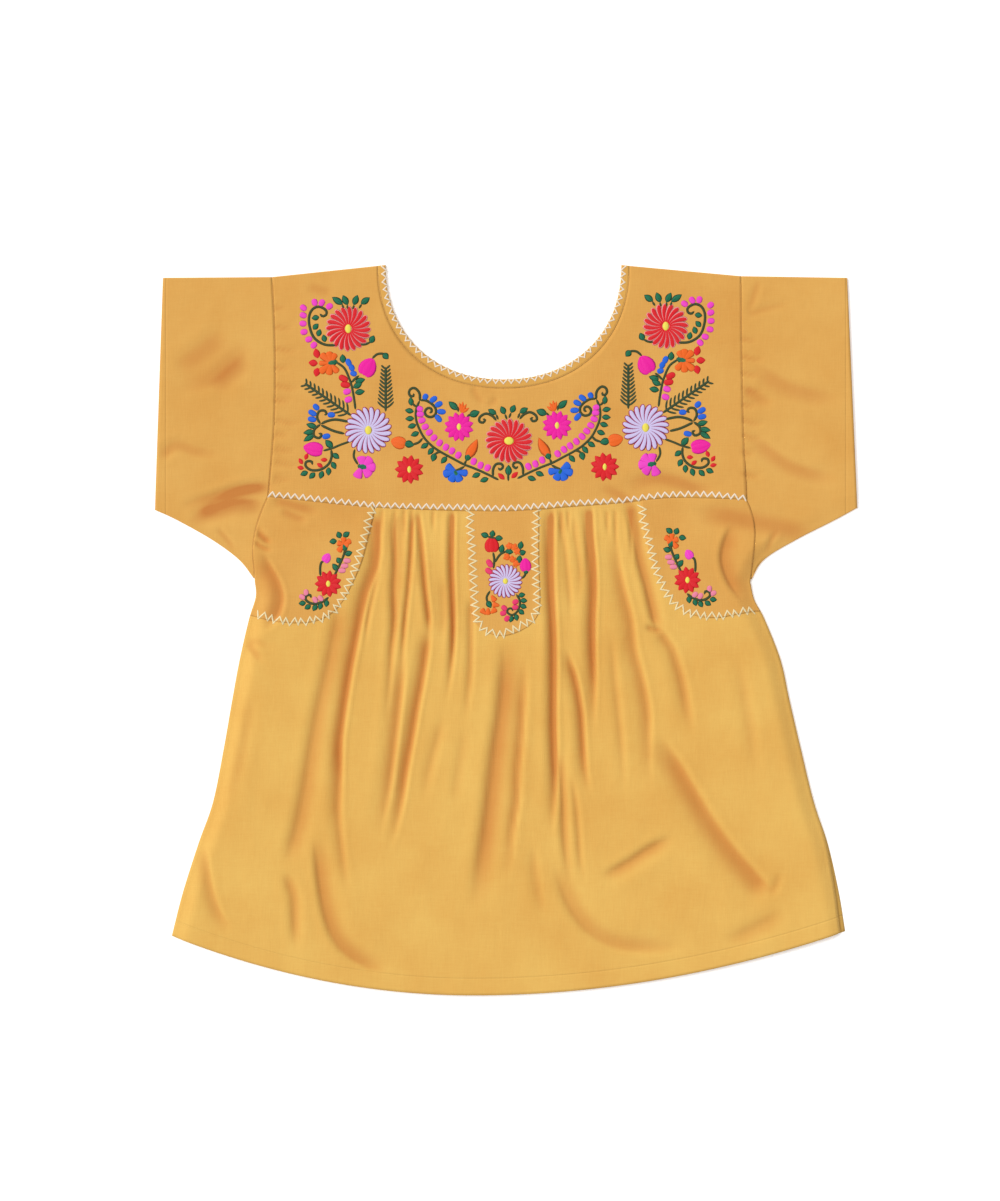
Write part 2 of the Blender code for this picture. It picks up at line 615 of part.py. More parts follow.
def make_back(material):
    """The back body: flat on the table, with its gathers pressed under the yoke seam."""
    left, right = body_sides(front=False)
    few = [*range(ARMHOLE_STEPS + 1), *range(ARMHOLE_STEPS + 2, ARMHOLE_STEPS + SIDE_STEPS + 1, 2)]
    left, right = left[few], right[few]
    top_x = warp_lines(BACK_WARPS, "yoke_x")
    hem_x = warp_lines(BACK_WARPS, "hem_x")
    top_x = np.interp(top_x, [top_x[0], top_x[-1]], [left[0, 0], right[0, 0]])
    top = np.column_stack([top_x, back_seam_y(top_x) - SEAM])
    left[0], right[0] = top[0], top[-1]
    foot = np.column_stack([hem_x, hem_y(hem_x)])
    foot[0], foot[-1] = left[-1], right[-1]
    plan = panel_plan(top, foot, left, right)
    grid = lifted(plan, BACK_MID + back_gathers(plan[..., 0], plan[..., 1]))
    return cloth_piece("body_back", grid, material)


def make_sleeve(side, material):
    """A short wide sleeve: a tube folded along its top, sewn along the underarm, pressed flat."""
    sign = -1 if side == "left" else 1
    yoke, armhole = sleeve_seam(side, SEAM / 2)
    seam = np.vstack([yoke, armhole[1:]])
    steps = len(seam) - 1
    cuff_top = np.array(side_points([CUFF_TOP], side)[0])
    top = np.linspace(seam[0], cuff_top - (0, FOLD_REACH), SLEEVE_COLUMNS + 1)
    foot = smooth_path(side_points(UNDERARM, side), SLEEVE_COLUMNS)
    along_foot = np.gradient(foot, axis=0)
    along_foot /= np.linalg.norm(along_foot, axis=1, keepdims=True)
    outwards = np.column_stack([along_foot[:, 1], -along_foot[:, 0]]) * sign
    along_seam = (seam[-1] - seam[-2]) / np.linalg.norm(seam[-1] - seam[-2])
    corner_sine = -np.dot(along_seam, outwards[0])
    seam[-1] -= along_seam * FOLD_REACH / abs(corner_sine)
    foot -= outwards * FOLD_REACH
    foot[0] = seam[-1]
    cuff = evenly(np.array([top[-1], foot[-1]]), steps)
    down = np.linspace(0, 1, steps + 1)[:, None, None]
    across = np.linspace(0, 1, SLEEVE_COLUMNS + 1)[None, :, None]
    plan = (
        (1 - across) * seam[:, None] + across * cuff[:, None] + (1 - down) * top[None] + down * foot[None]
        - (1 - down) * ((1 - across) * seam[0] + across * cuff[0])
        - down * ((1 - across) * seam[-1] + across * cuff[-1])
    )
    front = lifted(plan, FRONT_MID + relief(plan[..., 0], plan[..., 1]))
    front[0, :, 2] = front[-1, :, 2] = FRONT_MID
    back = lifted(plan, BACK_MID)[::-1]
    foot_turn = turn(front[-1], outwards, FRONT_MID, BACK_MID)
    top_turn = turn(front[0], (0.0, 1.0), FRONT_MID, BACK_MID)[::-1]
    ring = np.array([*front, *foot_turn, *back, *top_turn])
    if side == "right":
        ring = ring[:, ::-1]
    return cloth_piece("sleeve_" + side, ring, material, ring=True)


def make_patch(name, grid, outline, material):
    """A patch sewn on the front: the front's own points moved out, cut to its outline."""
    below = [(p.x, min(p.y, yoke_hem_y(p.x) - SEAM)) for p in outline]
    tops = np.linspace(below[-1][0], below[0][0], PATCH_TOP_STEPS + 1)[1:-1]
    below += [(x, yoke_hem_y(x) - SEAM) for x in tops]
    xs, ys = np.array(below).T
    raised = grid + normals(grid) * (CLOTH + PATCH_SPACE)
    inside = (grid[..., 0] > xs.min() - PATCH_MARGIN) & (grid[..., 0] < xs.max() + PATCH_MARGIN)
    inside &= grid[..., 1] > ys.min() - PATCH_MARGIN
    rows = np.where(inside.any(axis=1))[0]
    columns = np.where(inside.any(axis=0))[0]
    part = raised[rows[0] : rows[-1] + 1, columns[0] : columns[-1] + 1]
    patch = cloth_piece(name, part, material)
    keep = patch.modifiers.new("Outline", "BOOLEAN")
    keep.operation = "INTERSECT"
    keep.object = cutter(name + "_outline", below)
    return patch


def main():
    for obj in list(bpy.data.objects):
        bpy.data.objects.remove(obj)
    cloth = cotton("gold_cotton", GOLD_COTTON)
    doubled = cotton("gold_cotton_doubled", GOLD_COTTON_DOUBLED)
    grid = front_grid()
    make_back(cloth)
    cloth_piece("body_front", grid, cloth)
    make_yoke(cloth)
    make_neck_band(doubled)
    for side in ("left", "right"):
        make_sleeve(side, cloth)
    make_patch("patch_left", grid, LEFT_PATCH, doubled)
    make_patch("patch_right", grid, RIGHT_PATCH, doubled)
    make_patch("patch_centre", grid, CENTRE_PATCH, doubled)


main()
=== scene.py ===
# %% [markdown]
# # An embroidered cotton blouse, laid flat
# The blouse lies on a pale table with its front up: a square yoke with a round neck, short wide
# sleeves, and a body gathered under the yoke. Flowers are embroidered on the yoke and on three patches.
# We load the solid model first. It says where each piece is, and every finer piece is made around it.

# %% Load the frame
import math
from collections import namedtuple

import bmesh
import bpy
import numpy as np
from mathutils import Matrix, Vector
from mathutils.bvhtree import BVHTree


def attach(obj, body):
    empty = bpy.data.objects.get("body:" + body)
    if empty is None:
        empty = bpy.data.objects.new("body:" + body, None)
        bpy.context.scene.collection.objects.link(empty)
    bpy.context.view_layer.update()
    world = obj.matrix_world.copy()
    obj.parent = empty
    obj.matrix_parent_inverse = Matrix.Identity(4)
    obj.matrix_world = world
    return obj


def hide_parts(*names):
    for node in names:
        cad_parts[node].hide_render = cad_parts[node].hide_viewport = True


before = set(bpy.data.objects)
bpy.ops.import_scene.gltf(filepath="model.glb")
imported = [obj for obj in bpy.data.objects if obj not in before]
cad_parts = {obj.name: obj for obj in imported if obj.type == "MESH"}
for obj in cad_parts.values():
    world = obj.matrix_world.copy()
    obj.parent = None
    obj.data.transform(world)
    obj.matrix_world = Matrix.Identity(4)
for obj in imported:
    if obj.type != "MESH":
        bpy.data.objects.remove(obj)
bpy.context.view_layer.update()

MM = 0.001
PIXEL = 0.9  # millimetres of the blouse to a pixel of the photograph
print("solids:", ", ".join(sorted(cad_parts)))

# %% [markdown]
# ## The sizes of the cut
# A garment is easiest to describe in plan, in millimetres, with the origin under its middle. Only the
# corners and the turns of each edge are written down, and a smooth line is drawn through them. The wall
# of each piece is thinner than its solid, because this cotton is a light one.

# %% Sizes
CLOTH = 1.0  # wall of the solids, which sets how high each layer lies
WALL = 0.55  # wall of the cloth that is seen
BAND_CLOTH = 0.9  # the neck band is doubled, but pressed
BAND_PROUD = 0.12  # how far the band stands above the yoke
SEAM = 0.12  # between two pieces; the solids keep 0.3
LAYER_SPACE = 0.4
BACK_MID = CLOTH / 2
FRONT_MID = CLOTH + LAYER_SPACE + CLOTH / 2
FOLD_RADIUS = (FRONT_MID - BACK_MID) / 2
FOLD_REACH = FOLD_RADIUS + CLOTH / 2
FOLD_ANGLES = (75, 45, 15, -15, -45, -75)

NECK_X, NECK_TOP = -2.7, 328.5
NECK_HALF_WIDTH, NECK_DEPTH, NECK_POWER = 106.0, 102.0, 2.15
NECK_BAND = 7.0
SHOULDER_SLOPE = 0.10

YOKE_LAP, YOKE_LAP_INSET = 6.0, 0.99
YOKE_LIFT, YOKE_LIFT_FLAT, YOKE_LIFT_END = 0.8, 22.0, 48.0
HEM_LOW_X, HEM_LOW_Y = -30.0, -328.5
VENT_TOP_Y, VENT_SHOW = -155.0, 4.5
EDGE_FADE = 16.0
BACK_GATHER_ROOM, BACK_GATHER_HEIGHT, BACK_GATHERS = 1.0, 0.8, 8
BACK_GATHER_HALF_WIDTH, BACK_GATHER_FLARE, BACK_GATHER_LENGTH = 130.0, 0.35, 200.0
BACK_GATHER_RISE, BACK_GATHER_FALL = 45.0, 120.0
FLOOR_SOFTNESS = 0.3
FOLD_BULGE = 0.16
CREASE_SHARPNESS = 1.5  # 2 would be a round gutter, 1 a fold pressed with an iron
SHADE_SHARPNESS = 2.6  # how suddenly the painted shade of a fold ends at its sides

Station = namedtuple("Station", "left_x left_y right_x right_y")
ARMHOLE = (
    Station(-214.5, 120.0, 216.0, 117.5),
    Station(-220.0, 108.0, 220.5, 106.0),
    Station(-225.0, 93.0, 223.5, 92.0),
    Station(-228.3, 72.0, 222.3, 70.0),
    Station(-226.5, 45.0, 219.3, 43.0),
)
SIDE_SEAM = (
    Station(-226.5, 45.0, 219.3, 43.0),
    Station(-225.5, 30.0, 223.0, 27.0),
    Station(-231.5, 10.0, 232.0, 10.0),
    Station(-240.0, -27.0, 246.5, -27.0),
    Station(-247.0, -65.0, 254.5, -63.0),
    Station(-254.5, -108.0, 265.0, -108.0),
    Station(-264.0, -155.0, 276.5, -155.0),
    Station(-277.0, -192.0, 289.0, -192.0),
    Station(-291.0, -236.0, 299.0, -236.0),
    Station(-301.0, -275.0, 304.7, -271.0),
)
YOKE_SIDE = (
    Station(-211.0, 317.7, 211.0, 318.5),
    Station(-208.5, 262.0, 211.5, 262.0),
    Station(-208.5, 205.0, 212.5, 205.0),
    Station(-211.0, 160.0, 214.0, 160.0),
    Station(-214.5, 120.0, 216.0, 117.5),
)
UNDERARM = (
    Station(-226.5, 45.0, 219.3, 43.0),
    Station(-240.7, 63.0, 231.7, 63.0),
    Station(-265.0, 81.0, 260.6, 81.0),
    Station(-297.0, 99.0, 294.0, 98.0),
    Station(-316.6, 108.0, 316.0, 110.0),
)
CUFF_TOP = Station(-309.0, 317.0, 306.5, 317.0)
CUFF_FOOT = Station(-316.6, 108.0, 316.0, 110.0)

Point = namedtuple("Point", "x y")
YOKE_HEM = (
    Point(-214.5, 120.0),
    Point(-118.0, 110.5),
    Point(-6.0, 107.0),
    Point(57.0, 111.0),
    Point(102.0, 114.5),
    Point(150.0, 119.0),
    Point(216.0, 117.5),
)
Warp = namedtuple("Warp", "place yoke_x hem_x columns")
FRONT_WARPS = (
    Warp("left side seam", -214.5, -301.0, 0),
    Warp("left gathers start", -124.0, -205.0, 36),
    Warp("left gathers end", -35.0, -58.0, 72),
    Warp("right gathers start", 29.0, 44.0, 30),
    Warp("right gathers end", 126.0, 205.0, 76),
    Warp("right side seam", 216.0, 304.7, 36),
)
BACK_WARPS = (
    Warp("left side seam", -214.5, -301.0, 0),
    Warp("gathers start", -130.0, -215.0, 20),
    Warp("gathers end", 130.0, 215.0, 110),
    Warp("right side seam", 216.0, 304.7, 20),
)
Height = namedtuple("Height", "y lift")
LOFT = (
    Height(330.0, 0.2),
    Height(220.0, 0.8),
    Height(135.0, 0.9),
    Height(105.0, 0.9),
    Height(70.0, 4.0),
    Height(0.0, 5.4),
    Height(-150.0, 5.4),
    Height(-260.0, 3.8),
    Height(-329.0, 1.6),
)
print(f"length {NECK_TOP - HEM_LOW_Y:.0f} mm, cuff to cuff {CUFF_FOOT.right_x - CUFF_FOOT.left_x:.0f} mm")

# %% [markdown]
# ## The folds
# Cloth that lies on a table shows long soft troughs that run from the gathers to the hem, and short
# creases at the armholes. They could come from a simulation, but then they would fall where the solver
# puts them. Each one is a row of a table instead: a path, a depth, and a width on either side, so that a
# fold can be steep on one side and soft on the other. At least a fifth of the points of these paths were
# read off a printed measurement of the photograph's darkest places along level rows, and the rest, like
# all depths and widths, were set with such measurements at hand.
# Tucks start at the yoke's edge, creases run anywhere, and wrinkles are the small ones that only this
# finer cloth can show. Each fold also carries painted shade: the cloth's colour turns darker and redder in
# it.

# %% Folds
Trough = namedtuple("Trough", "name depth left right rise fall path")
TUCKS = (
    Trough("left patch side", 5.0, 7, 2.2, 0.04, 0.25,
           ((-115, 106), (-116, 62), (-124.5, 38), (-130, 16), (-134, -5), (-138, -25), (-141.5, -45),
            (-145.5, -72), (-149, -99), (-149.5, -126), (-150, -153), (-151, -183))),
    Trough("left band", 1.8, 4, 5, 0.06, 0.40, ((-97, 105), (-97, 70), (-99, 36), (-101, 0), (-103, -32))),
    Trough("left tuck", 4.2, 3.0, 1.8, 0.05, 0.20,
           ((-80, 106), (-77, 86), (-74.8, 63), (-72.5, 36), (-69.5, 9), (-70, -8))),
    Trough("left inner tuck", 6.0, 3.0, 1.8, 0.04, 0.50,
           ((-48.3, 107), (-49, 63), (-48.2, 36), (-47.4, 9), (-48.2, -18), (-51, -45), (-56, -72))),
    Trough("right of centre patch", 6.4, 4.8, 2.2, 0.04, 0.30,
           ((40.8, 110), (40.2, 76), (40.8, 40), (42.3, 8), (43, -14), (43, -47), (42.8, -78),
            (43.4, -108), (43.6, -138), (42, -165), (38, -192))),
    Trough("right thin tuck", 1.3, 3.4, 2.0, 0.08, 0.30, ((49, 110), (52, 81), (57, 30), (58, 4))),
    Trough("right tuck", 6.0, 5.6, 1.8, 0.04, 0.45,
           ((75.6, 112), (76.6, 86), (78.8, 62), (79.6, 36), (78.4, 9), (78.4, -18), (79, -45), (78.5, -75),
            (78.5, -100))),
    Trough("right soft tuck", 3.0, 8, 2.6, 0.25, 0.35,
           ((97, 100), (100, 63), (105, 36), (112, 9), (115, -18), (122, -45), (127, -72), (127.5, -99),
            (128, -126), (131, -155))),
    Trough("right patch side", 3.8, 3.0, 6, 0.06, 0.14,
           ((109, 113), (115, 89), (119.5, 62), (126, 38), (130, 20), (133, 8), (138, -3))),
)
CREASES = (
    Trough("outer left", 2.8, 5, 9, 0.12, 0.12,
           ((-149, 30), (-152, 9), (-157, -18), (-163, -45), (-169, -72), (-174, -99), (-178.5, -126),
            (-183, -153), (-189, -180), (-198, -214))),
    Trough("outer left foot", 2.6, 4, 5, 0.20, 0.40,
           ((-200, -216), (-195.5, -228), (-191.5, -240), (-190.5, -261), (-189, -290))),
    Trough("left patch side foot", 2.0, 5, 3, 0.35, 0.45,
           ((-152, -130), (-151, -165), (-147, -205), (-141, -245))),
    Trough("left tuck tail", 4.4, 6.5, 2.2, 0.12, 0.35,
           ((-69, 4), (-71.5, -18), (-75.5, -45), (-80.5, -72), (-85, -99), (-90, -126), (-94, -153),
            (-100, -180), (-107, -200))),
    Trough("left middle", 3.4, 7, 2.4, 0.25, 0.40,
           ((-91, -14), (-94.5, -50), (-99, -90), (-102, -115), (-106, -145), (-112, -175), (-115, -195))),
    Trough("middle", 4.0, 5, 11, 0.20, 0.30,
           ((-1, -2), (-2.5, -45), (-5, -72), (-9, -99), (-12.5, -126), (-15.5, -153), (-19, -180),
            (-23, -207), (-27, -234), (-33, -261))),
    Trough("middle right", 3.4, 6, 2.6, 0.25, 0.35,
           ((17, -18), (16, -45), (14.5, -72), (13, -99), (10.5, -126), (9.5, -153), (5.5, -180), (3, -207),
            (-1, -234))),
    Trough("right inner", 4.4, 5, 2.0, 0.20, 0.35,
           ((53.6, -14), (57, -28), (62.4, -45), (67.2, -72), (69, -99), (71, -126), (76, -152))),
    Trough("right inner tail", 2.8, 3, 4, 0.22, 0.40,
           ((48, -100), (49, -126), (51, -153), (51.5, -180), (54, -207), (58.5, -234))),
    Trough("right shoulder of skirt", 3.0, 6, 3, 0.12, 0.40,
           ((135, 4), (142, -7), (149, -17), (154, -32), (158, -46), (163, -72), (167.5, -99))),
    Trough("right slant", 3.8, 13, 4, 0.22, 0.10,
           ((134, -92), (143, -106), (155, -124), (167.5, -145), (180, -166), (192, -184), (207, -203),
            (222, -220), (238, -238))),
    Trough("right slant end", 1.4, 3, 4, 0.25, 0.60, ((236, -240), (242, -230), (248, -214))),
    Trough("right cross crease", 3.0, 7, 3, 0.30, 0.30,
           ((82, -223), (98, -215), (112, -207), (130, -195), (153, -184))),
    Trough("left hem curl", 3.4, 3.0, 10, 0.25, 0.25,
           ((-173, -180), (-170.5, -205), (-167.5, -230), (-163, -254), (-156, -274), (-145, -289),
            (-126, -301), (-100, -308))),
    Trough("right hem curl", 2.4, 4, 10, 0.25, 0.35,
           ((43, -205), (50, -232), (62, -256), (80, -274), (104, -284), (140, -286), (172, -280))),
    Trough("left corner", 2.4, 8, 2.6, 0.25, 0.30,
           ((-273, -190), (-269.6, -211), (-265, -236), (-257, -257), (-245, -272))),
    Trough("right corner", 1.8, 8, 6, 0.40, 0.40, ((190, -280), (213, -273), (238, -260), (255, -250))),
    Trough("left armpit", 3.4, 11, 2.4, 0.25, 0.30,
           ((-221, 72), (-212, 55), (-205, 42), (-202, 29), (-204.5, 16), (-211, 7), (-222, -3))),
    Trough("left armpit low", 1.2, 2.5, 4, 0.30, 0.50, ((-238, -10), (-222, -12), (-206, -18))),
    Trough("left armhole crease", 1.4, 2.5, 3, 0.20, 0.50, ((-226, 93), (-218, 84), (-208, 75))),
    Trough("right armpit", 3.0, 2.4, 10, 0.25, 0.30,
           ((206, 98), (200, 88), (195.5, 77), (193.5, 65), (196, 52), (203, 38), (216, 22))),
    Trough("right sleeve foot", 3.0, 9, 8, 0.28, 0.25,
           ((166, 104), (195, 103), (226, 97), (253, 91), (282, 84))),
    Trough("left sleeve foot", 3.6, 9, 4, 0.30, 0.25, ((-284, 104), (-261, 109), (-240, 114), (-214, 112))),
    Trough("left sleeve foot upper", 2.2, 7, 3, 0.35, 0.25,
           ((-264, 114), (-246, 123), (-226, 129), (-210, 131))),
    Trough("left sleeve slant", 1.8, 11, 6, 0.40, 0.40, ((-226, 262), (-262, 228), (-300, 214))),
    Trough("right sleeve upper", 2.2, 9, 5, 0.30, 0.40, ((218, 240), (256, 218), (306, 206))),
    Trough("right sleeve lower", 2.6, 8, 4, 0.25, 0.40, ((218, 176), (256, 148), (304, 134))),
)
WRINKLES = (
    Trough("left sleeve band", 2.3, 10, 7, 0.35, 0.35, ((-300, 232), (-275, 250), (-250, 270))),
    Trough("left sleeve band low", 2.7, 9, 6, 0.35, 0.35, ((-268, 214), (-249, 232), (-230, 248))),
    Trough("left cuff crease", 2.0, 4, 5, 0.15, 0.50, ((-313, 153), (-297, 165), (-279, 160), (-252, 157))),
    Trough("left sleeve foot line", 2.3, 6, 3, 0.30, 0.25,
           ((-297, 109), (-272, 118), (-242, 127), (-215, 129), (-202, 133))),
    Trough("left sleeve foot slant", 2.6, 7, 4, 0.30, 0.25,
           ((-290, 92), (-276, 103), (-262, 115), (-248, 123), (-232, 128), (-214, 131))),
    Trough("left sleeve foot thread", 1.5, 3, 2, 0.30, 0.30,
           ((-280, 106), (-258, 112), (-240, 116), (-217, 117))),
    Trough("left shoulder crease", 1.9, 5, 4, 0.30, 0.40, ((-180, 311), (-168, 306), (-154, 303))),
    Trough("right sleeve third", 2.1, 6, 4, 0.15, 0.50, ((214, 217), (229, 208), (242, 203))),
    Trough("right shoulder line", 1.6, 2.6, 3, 0.20, 0.40, ((227, 316), (220, 294), (215, 284))),
    Trough("right seam line", 1.4, 2.6, 3, 0.15, 0.50, ((215, 283), (236, 289), (258, 294))),
    Trough("right yoke foot", 3.0, 7, 5, 0.30, 0.30,
           ((104, 127), (130, 137), (153, 134), (170, 128), (192, 127))),
    Trough("right yoke corner", 2.4, 5, 4, 0.35, 0.40, ((82, 130), (104, 120), (113, 110), (116, 98))),
    Trough("left yoke corner", 2.9, 5, 3, 0.25, 0.40, ((-212, 118), (-200, 115), (-189, 112), (-166, 106))),
    Trough("left yoke corner low", 2.3, 4, 2.4, 0.25, 0.40, ((-203, 109), (-192, 103), (-177, 98))),
    Trough("left armhole stroke", 2.8, 2.6, 2.2, 0.20, 0.40, ((-224, 88), (-218, 82), (-211, 78))),
    Trough("left armhole stroke low", 2.4, 2.2, 2.0, 0.20, 0.40, ((-227, 80), (-219, 74), (-209, 71))),
    Trough("left underarm pinch", 1.8, 2.6, 2.4, 0.30, 0.40, ((-262, 93), (-251, 81), (-243, 69))),
    Trough("right underarm pinch", 1.6, 2.6, 2.4, 0.30, 0.40, ((244, 92), (238, 80), (232, 66))),
    Trough("left side stroke", 2.0, 3, 4, 0.20, 0.50, ((-234, -11), (-227, -20), (-218, -31))),
    Trough("neck crease", 1.4, 2.6, 3, 0.15, 0.50, ((-31, 219), (-26, 209), (-17, 202))),
    Trough("neck crease right", 1.3, 2.6, 3, 0.30, 0.40, ((-7, 210), (-13, 204), (-20, 200))),
    Trough("right front line", 1.4, 2.4, 3, 0.20, 0.45, ((60, 108), (62, 84), (66, 52), (65, 20))),
    Trough("left front line", 2.5, 3.4, 2.2, 0.10, 0.45,
           ((-103, 106), (-100.5, 63), (-101.5, 36), (-100.5, 9), (-103, -18), (-105, -45), (-107.5, -72),
            (-110, -99))),
    Trough("left second line", 3.4, 2.4, 1.8, 0.08, 0.35,
           ((-84.4, 106), (-86.2, 63), (-88.2, 36), (-91, 9), (-93, -18), (-95, -45))),
    Trough("left patch thread", 2.0, 2.4, 2.0, 0.30, 0.40,
           ((-112, 62), (-119, 36), (-124.6, 9), (-127.5, -18))),
    Trough("left inner band", 1.3, 5, 4, 0.30, 0.40, ((-57, 52), (-56, 36), (-56, 9), (-58, -14))),
    Trough("right patch ledge", 2.6, 3.5, 2.0, 0.30, 0.40, ((124, 4), (132, 1), (141, 0))),
    Trough("left front line low", 1.4, 5, 4, 0.30, 0.45, ((-56, -72), (-62, -99), (-68, -120), (-76, -160))),
    Trough("centre left line", 2.4, 3, 2.2, 0.10, 0.45,
           ((-32, 30), (-32, 9), (-32, -18), (-33, -45), (-36, -72), (-38, -90))),
    Trough("centre left line low", 1.0, 4, 6, 0.30, 0.45, ((-36, -80), (-42, -118), (-50, -170))),
    Trough("right tail thread", 1.6, 3, 2.4, 0.25, 0.40,
           ((57, -126), (62, -153), (64.5, -180), (66.5, -207), (71, -235))),
    Trough("low middle", 1.4, 5, 3, 0.30, 0.40, ((24, -190), (26, -216), (30, -240), (36, -262))),
    Trough("right front line low", 1.4, 4, 3, 0.30, 0.40, ((94, 10), (97, -40), (103, -100), (106, -160))),
    Trough("far right line", 1.2, 6, 5, 0.40, 0.40, ((205, -10), (216, -70), (226, -140))),
    Trough("far left line", 1.2, 6, 5, 0.40, 0.40, ((-226, -40), (-238, -110), (-252, -170))),
)


def seam_puckers(x, heads, way):
    """Short creases that run crosswise from the sleeve seam, where the stitches draw it in."""
    puckers = []
    for y, length, fall in heads:
        middle, end = (x + way * length / 2, y - fall), (x + way * length, y - 0.4 * fall)
        puckers.append(Trough("pucker", 2.0, 1.9, 2.4, 0.15, 0.70, ((x - way * 3, y), middle, end)))
    return tuple(puckers)


GATHERS = (-112, -100.4, -92, -85.2, -66, -49, 40.6, 49, 55.5, 72.8, 90.5, 98, 111.5)
GATHER_LENGTHS = (26, 64, 30, 58, 24, 52, 60, 34, 26, 72, 28, 40, 58)
WRINKLES += tuple(
    Trough("gather", 1.7, 1.7, 1.5, 0.05, 0.70,
           ((x, 108), (x + 0.2, 108 - length / 2), (x + 0.8, 108 - length)))
    for x, length in zip(GATHERS, GATHER_LENGTHS)
)
LEFT_PUCKERS = ((290, 12, 1), (273, 18, 2), (254, 24, 3), (236, 15, 1), (221, 26, 4), (207, 17, 1),
                (189, 30, 3), (176, 14, 1), (163, 22, 2), (152, 26, 4), (137, 16, 2))
RIGHT_PUCKERS = ((262, 14, 2), (247, 22, 4), (232, 16, 3), (218, 20, 4), (203, 14, 2), (190, 22, 5),
                 (176, 18, 4), (160, 12, 2), (141, 18, 3))
WRINKLES += seam_puckers(-207.0, LEFT_PUCKERS, 1) + seam_puckers(213.5, RIGHT_PUCKERS, 1)
BACK_FOLDS = (
    Trough("back left", 0.6, 9, 6, 0.25, 0.40, ((-96, 40), (-112, -50), (-131, -150), (-142, -240))),
    Trough("back middle", 0.5, 6, 9, 0.30, 0.35, ((12, -60), (4, -130), (9, -200), (-3, -265))),
    Trough("back right", 0.6, 6, 10, 0.25, 0.40, ((104, 52), (121, -40), (146, -130), (171, -226))),
    Trough("back cross", 0.5, 7, 7, 0.35, 0.35, ((-74, -246), (-22, -262), (38, -258))),
    Trough("back yoke", 0.5, 5, 8, 0.30, 0.40, ((-178, 250), (-150, 214), (-142, 168))),
    Trough("back yoke right", 0.4, 8, 5, 0.35, 0.35, ((96, 150), (140, 141), (190, 150))),
    Trough("back left sleeve", 0.5, 8, 6, 0.30, 0.40, ((-302, 150), (-268, 176), (-226, 182))),
    Trough("back right sleeve", 0.5, 6, 8, 0.30, 0.40, ((226, 150), (262, 182), (304, 190))),
)
BACK_SHADE = 3.0  # painted shade on the back's gathers and creases, as a multiple of how far they stand off the table
CURVE_SAMPLES = 40
TROUGH_SAMPLES = 24


def smoothstep(t):
    """0 to 1 with soft ends."""
    t = np.clip(t, 0.0, 1.0)
    return t * t * (3 - 2 * t)


def evenly(line, samples):
    """The same line with samples + 1 points at even distances along it."""
    run = np.concatenate([[0], np.cumsum(np.hypot(*np.diff(line, axis=0).T))])
    at = np.linspace(0, run[-1], samples + 1)
    return np.column_stack([np.interp(at, run, line[:, 0]), np.interp(at, run, line[:, 1])])


def smooth_path(points, samples=CURVE_SAMPLES):
    """A smooth line through the points, as evenly spaced samples + 1 points."""
    knots = np.array([(p[0], p[1]) for p in points], float)
    ends = np.vstack([2 * knots[0] - knots[1], knots, 2 * knots[-1] - knots[-2]])
    fine = []
    for before, start, end, after in zip(ends, ends[1:], ends[2:], ends[3:]):
        for t in np.linspace(0, 1, CURVE_SAMPLES, endpoint=False):
            fine.append(
                0.5 * (2 * start + (end - before) * t + (2 * before - 5 * start + 4 * end - after) * t**2
                       + (3 * start - before - 3 * end + after) * t**3)
            )
    fine.append(knots[-1])
    return evenly(np.array(fine), samples)


def side_points(stations, side):
    """The left or the right column of a table of stations."""
    return [(getattr(s, side + "_x"), getattr(s, side + "_y")) for s in stations]


def to_line(x, y, line):
    """How far each point is from a line, signed by side, and the share of the line at its nearest point."""
    starts, steps = line[:-1], np.diff(line, axis=0)
    lengths = np.hypot(*steps.T)
    run = np.concatenate([[0], np.cumsum(lengths)])
    best = np.full(x.shape, np.inf)
    share, side = np.zeros(x.shape), np.ones(x.shape)
    for start, step, length, done in zip(starts, steps, lengths, run):
        off_x, off_y = x - start[0], y - start[1]
        t = np.clip((off_x * step[0] + off_y * step[1]) / length**2, 0, 1)
        away = np.hypot(off_x - t * step[0], off_y - t * step[1])
        nearer = away < best
        best = np.where(nearer, away, best)
        share = np.where(nearer, (done + t * length) / run[-1], share)
        side = np.where(nearer, np.sign(step[0] * off_y - step[1] * off_x), side)
    return best * side, share


YOKE_HEM_LINE = smooth_path(YOKE_HEM)


def yoke_hem_y(x):
    """The height in plan of the yoke's lower edge on the front."""
    return np.interp(x, YOKE_HEM_LINE[:, 0], YOKE_HEM_LINE[:, 1])


def closed_edges():
    """The lines where the front meets the back: shoulders, sleeve folds, underarms and sides."""
    lines = []
    for side, sign in (("left", -1), ("right", 1)):
        neck_end = (NECK_X + sign * NECK_HALF_WIDTH, NECK_TOP)
        shoulder = side_points(YOKE_SIDE[:1], side)[0]
        cuff = side_points([CUFF_TOP], side)[0]
        lines.append(np.array([neck_end, shoulder, cuff]))
        lines.append(smooth_path(side_points(UNDERARM, side)))
        lines.append(smooth_path(side_points(SIDE_SEAM, side)))
    return lines


CLOSED_EDGES = closed_edges()


def troughs_at(x, y, troughs):
    """The sum of these troughs, with the cloth that each pushes up beside it, and the part that dips, which
    sets the painted shade in the folds and lifts the back.
    """
    lift, hollow = np.zeros(x.shape), np.zeros(x.shape)
    for trough in troughs:
        away, share = to_line(x, y, smooth_path(trough.path, TROUGH_SAMPLES))
        width = np.where(away < 0, trough.left, trough.right)
        form = smoothstep(share / trough.rise) * smoothstep((1 - share) / trough.fall)
        dip = np.exp(-((np.abs(away) / width) ** CREASE_SHARPNESS))
        bulge = FOLD_BULGE * np.exp(-(((np.abs(away) - 2 * width) / width) ** 2))
        lift += trough.depth * form * (bulge - dip)
        # Painted shade: a plateau of depth along the fold, which the material turns into a darker, redder
        # colour.
        hollow += trough.depth * form * np.exp(-((np.abs(away) / width) ** SHADE_SHARPNESS))
    return lift, hollow


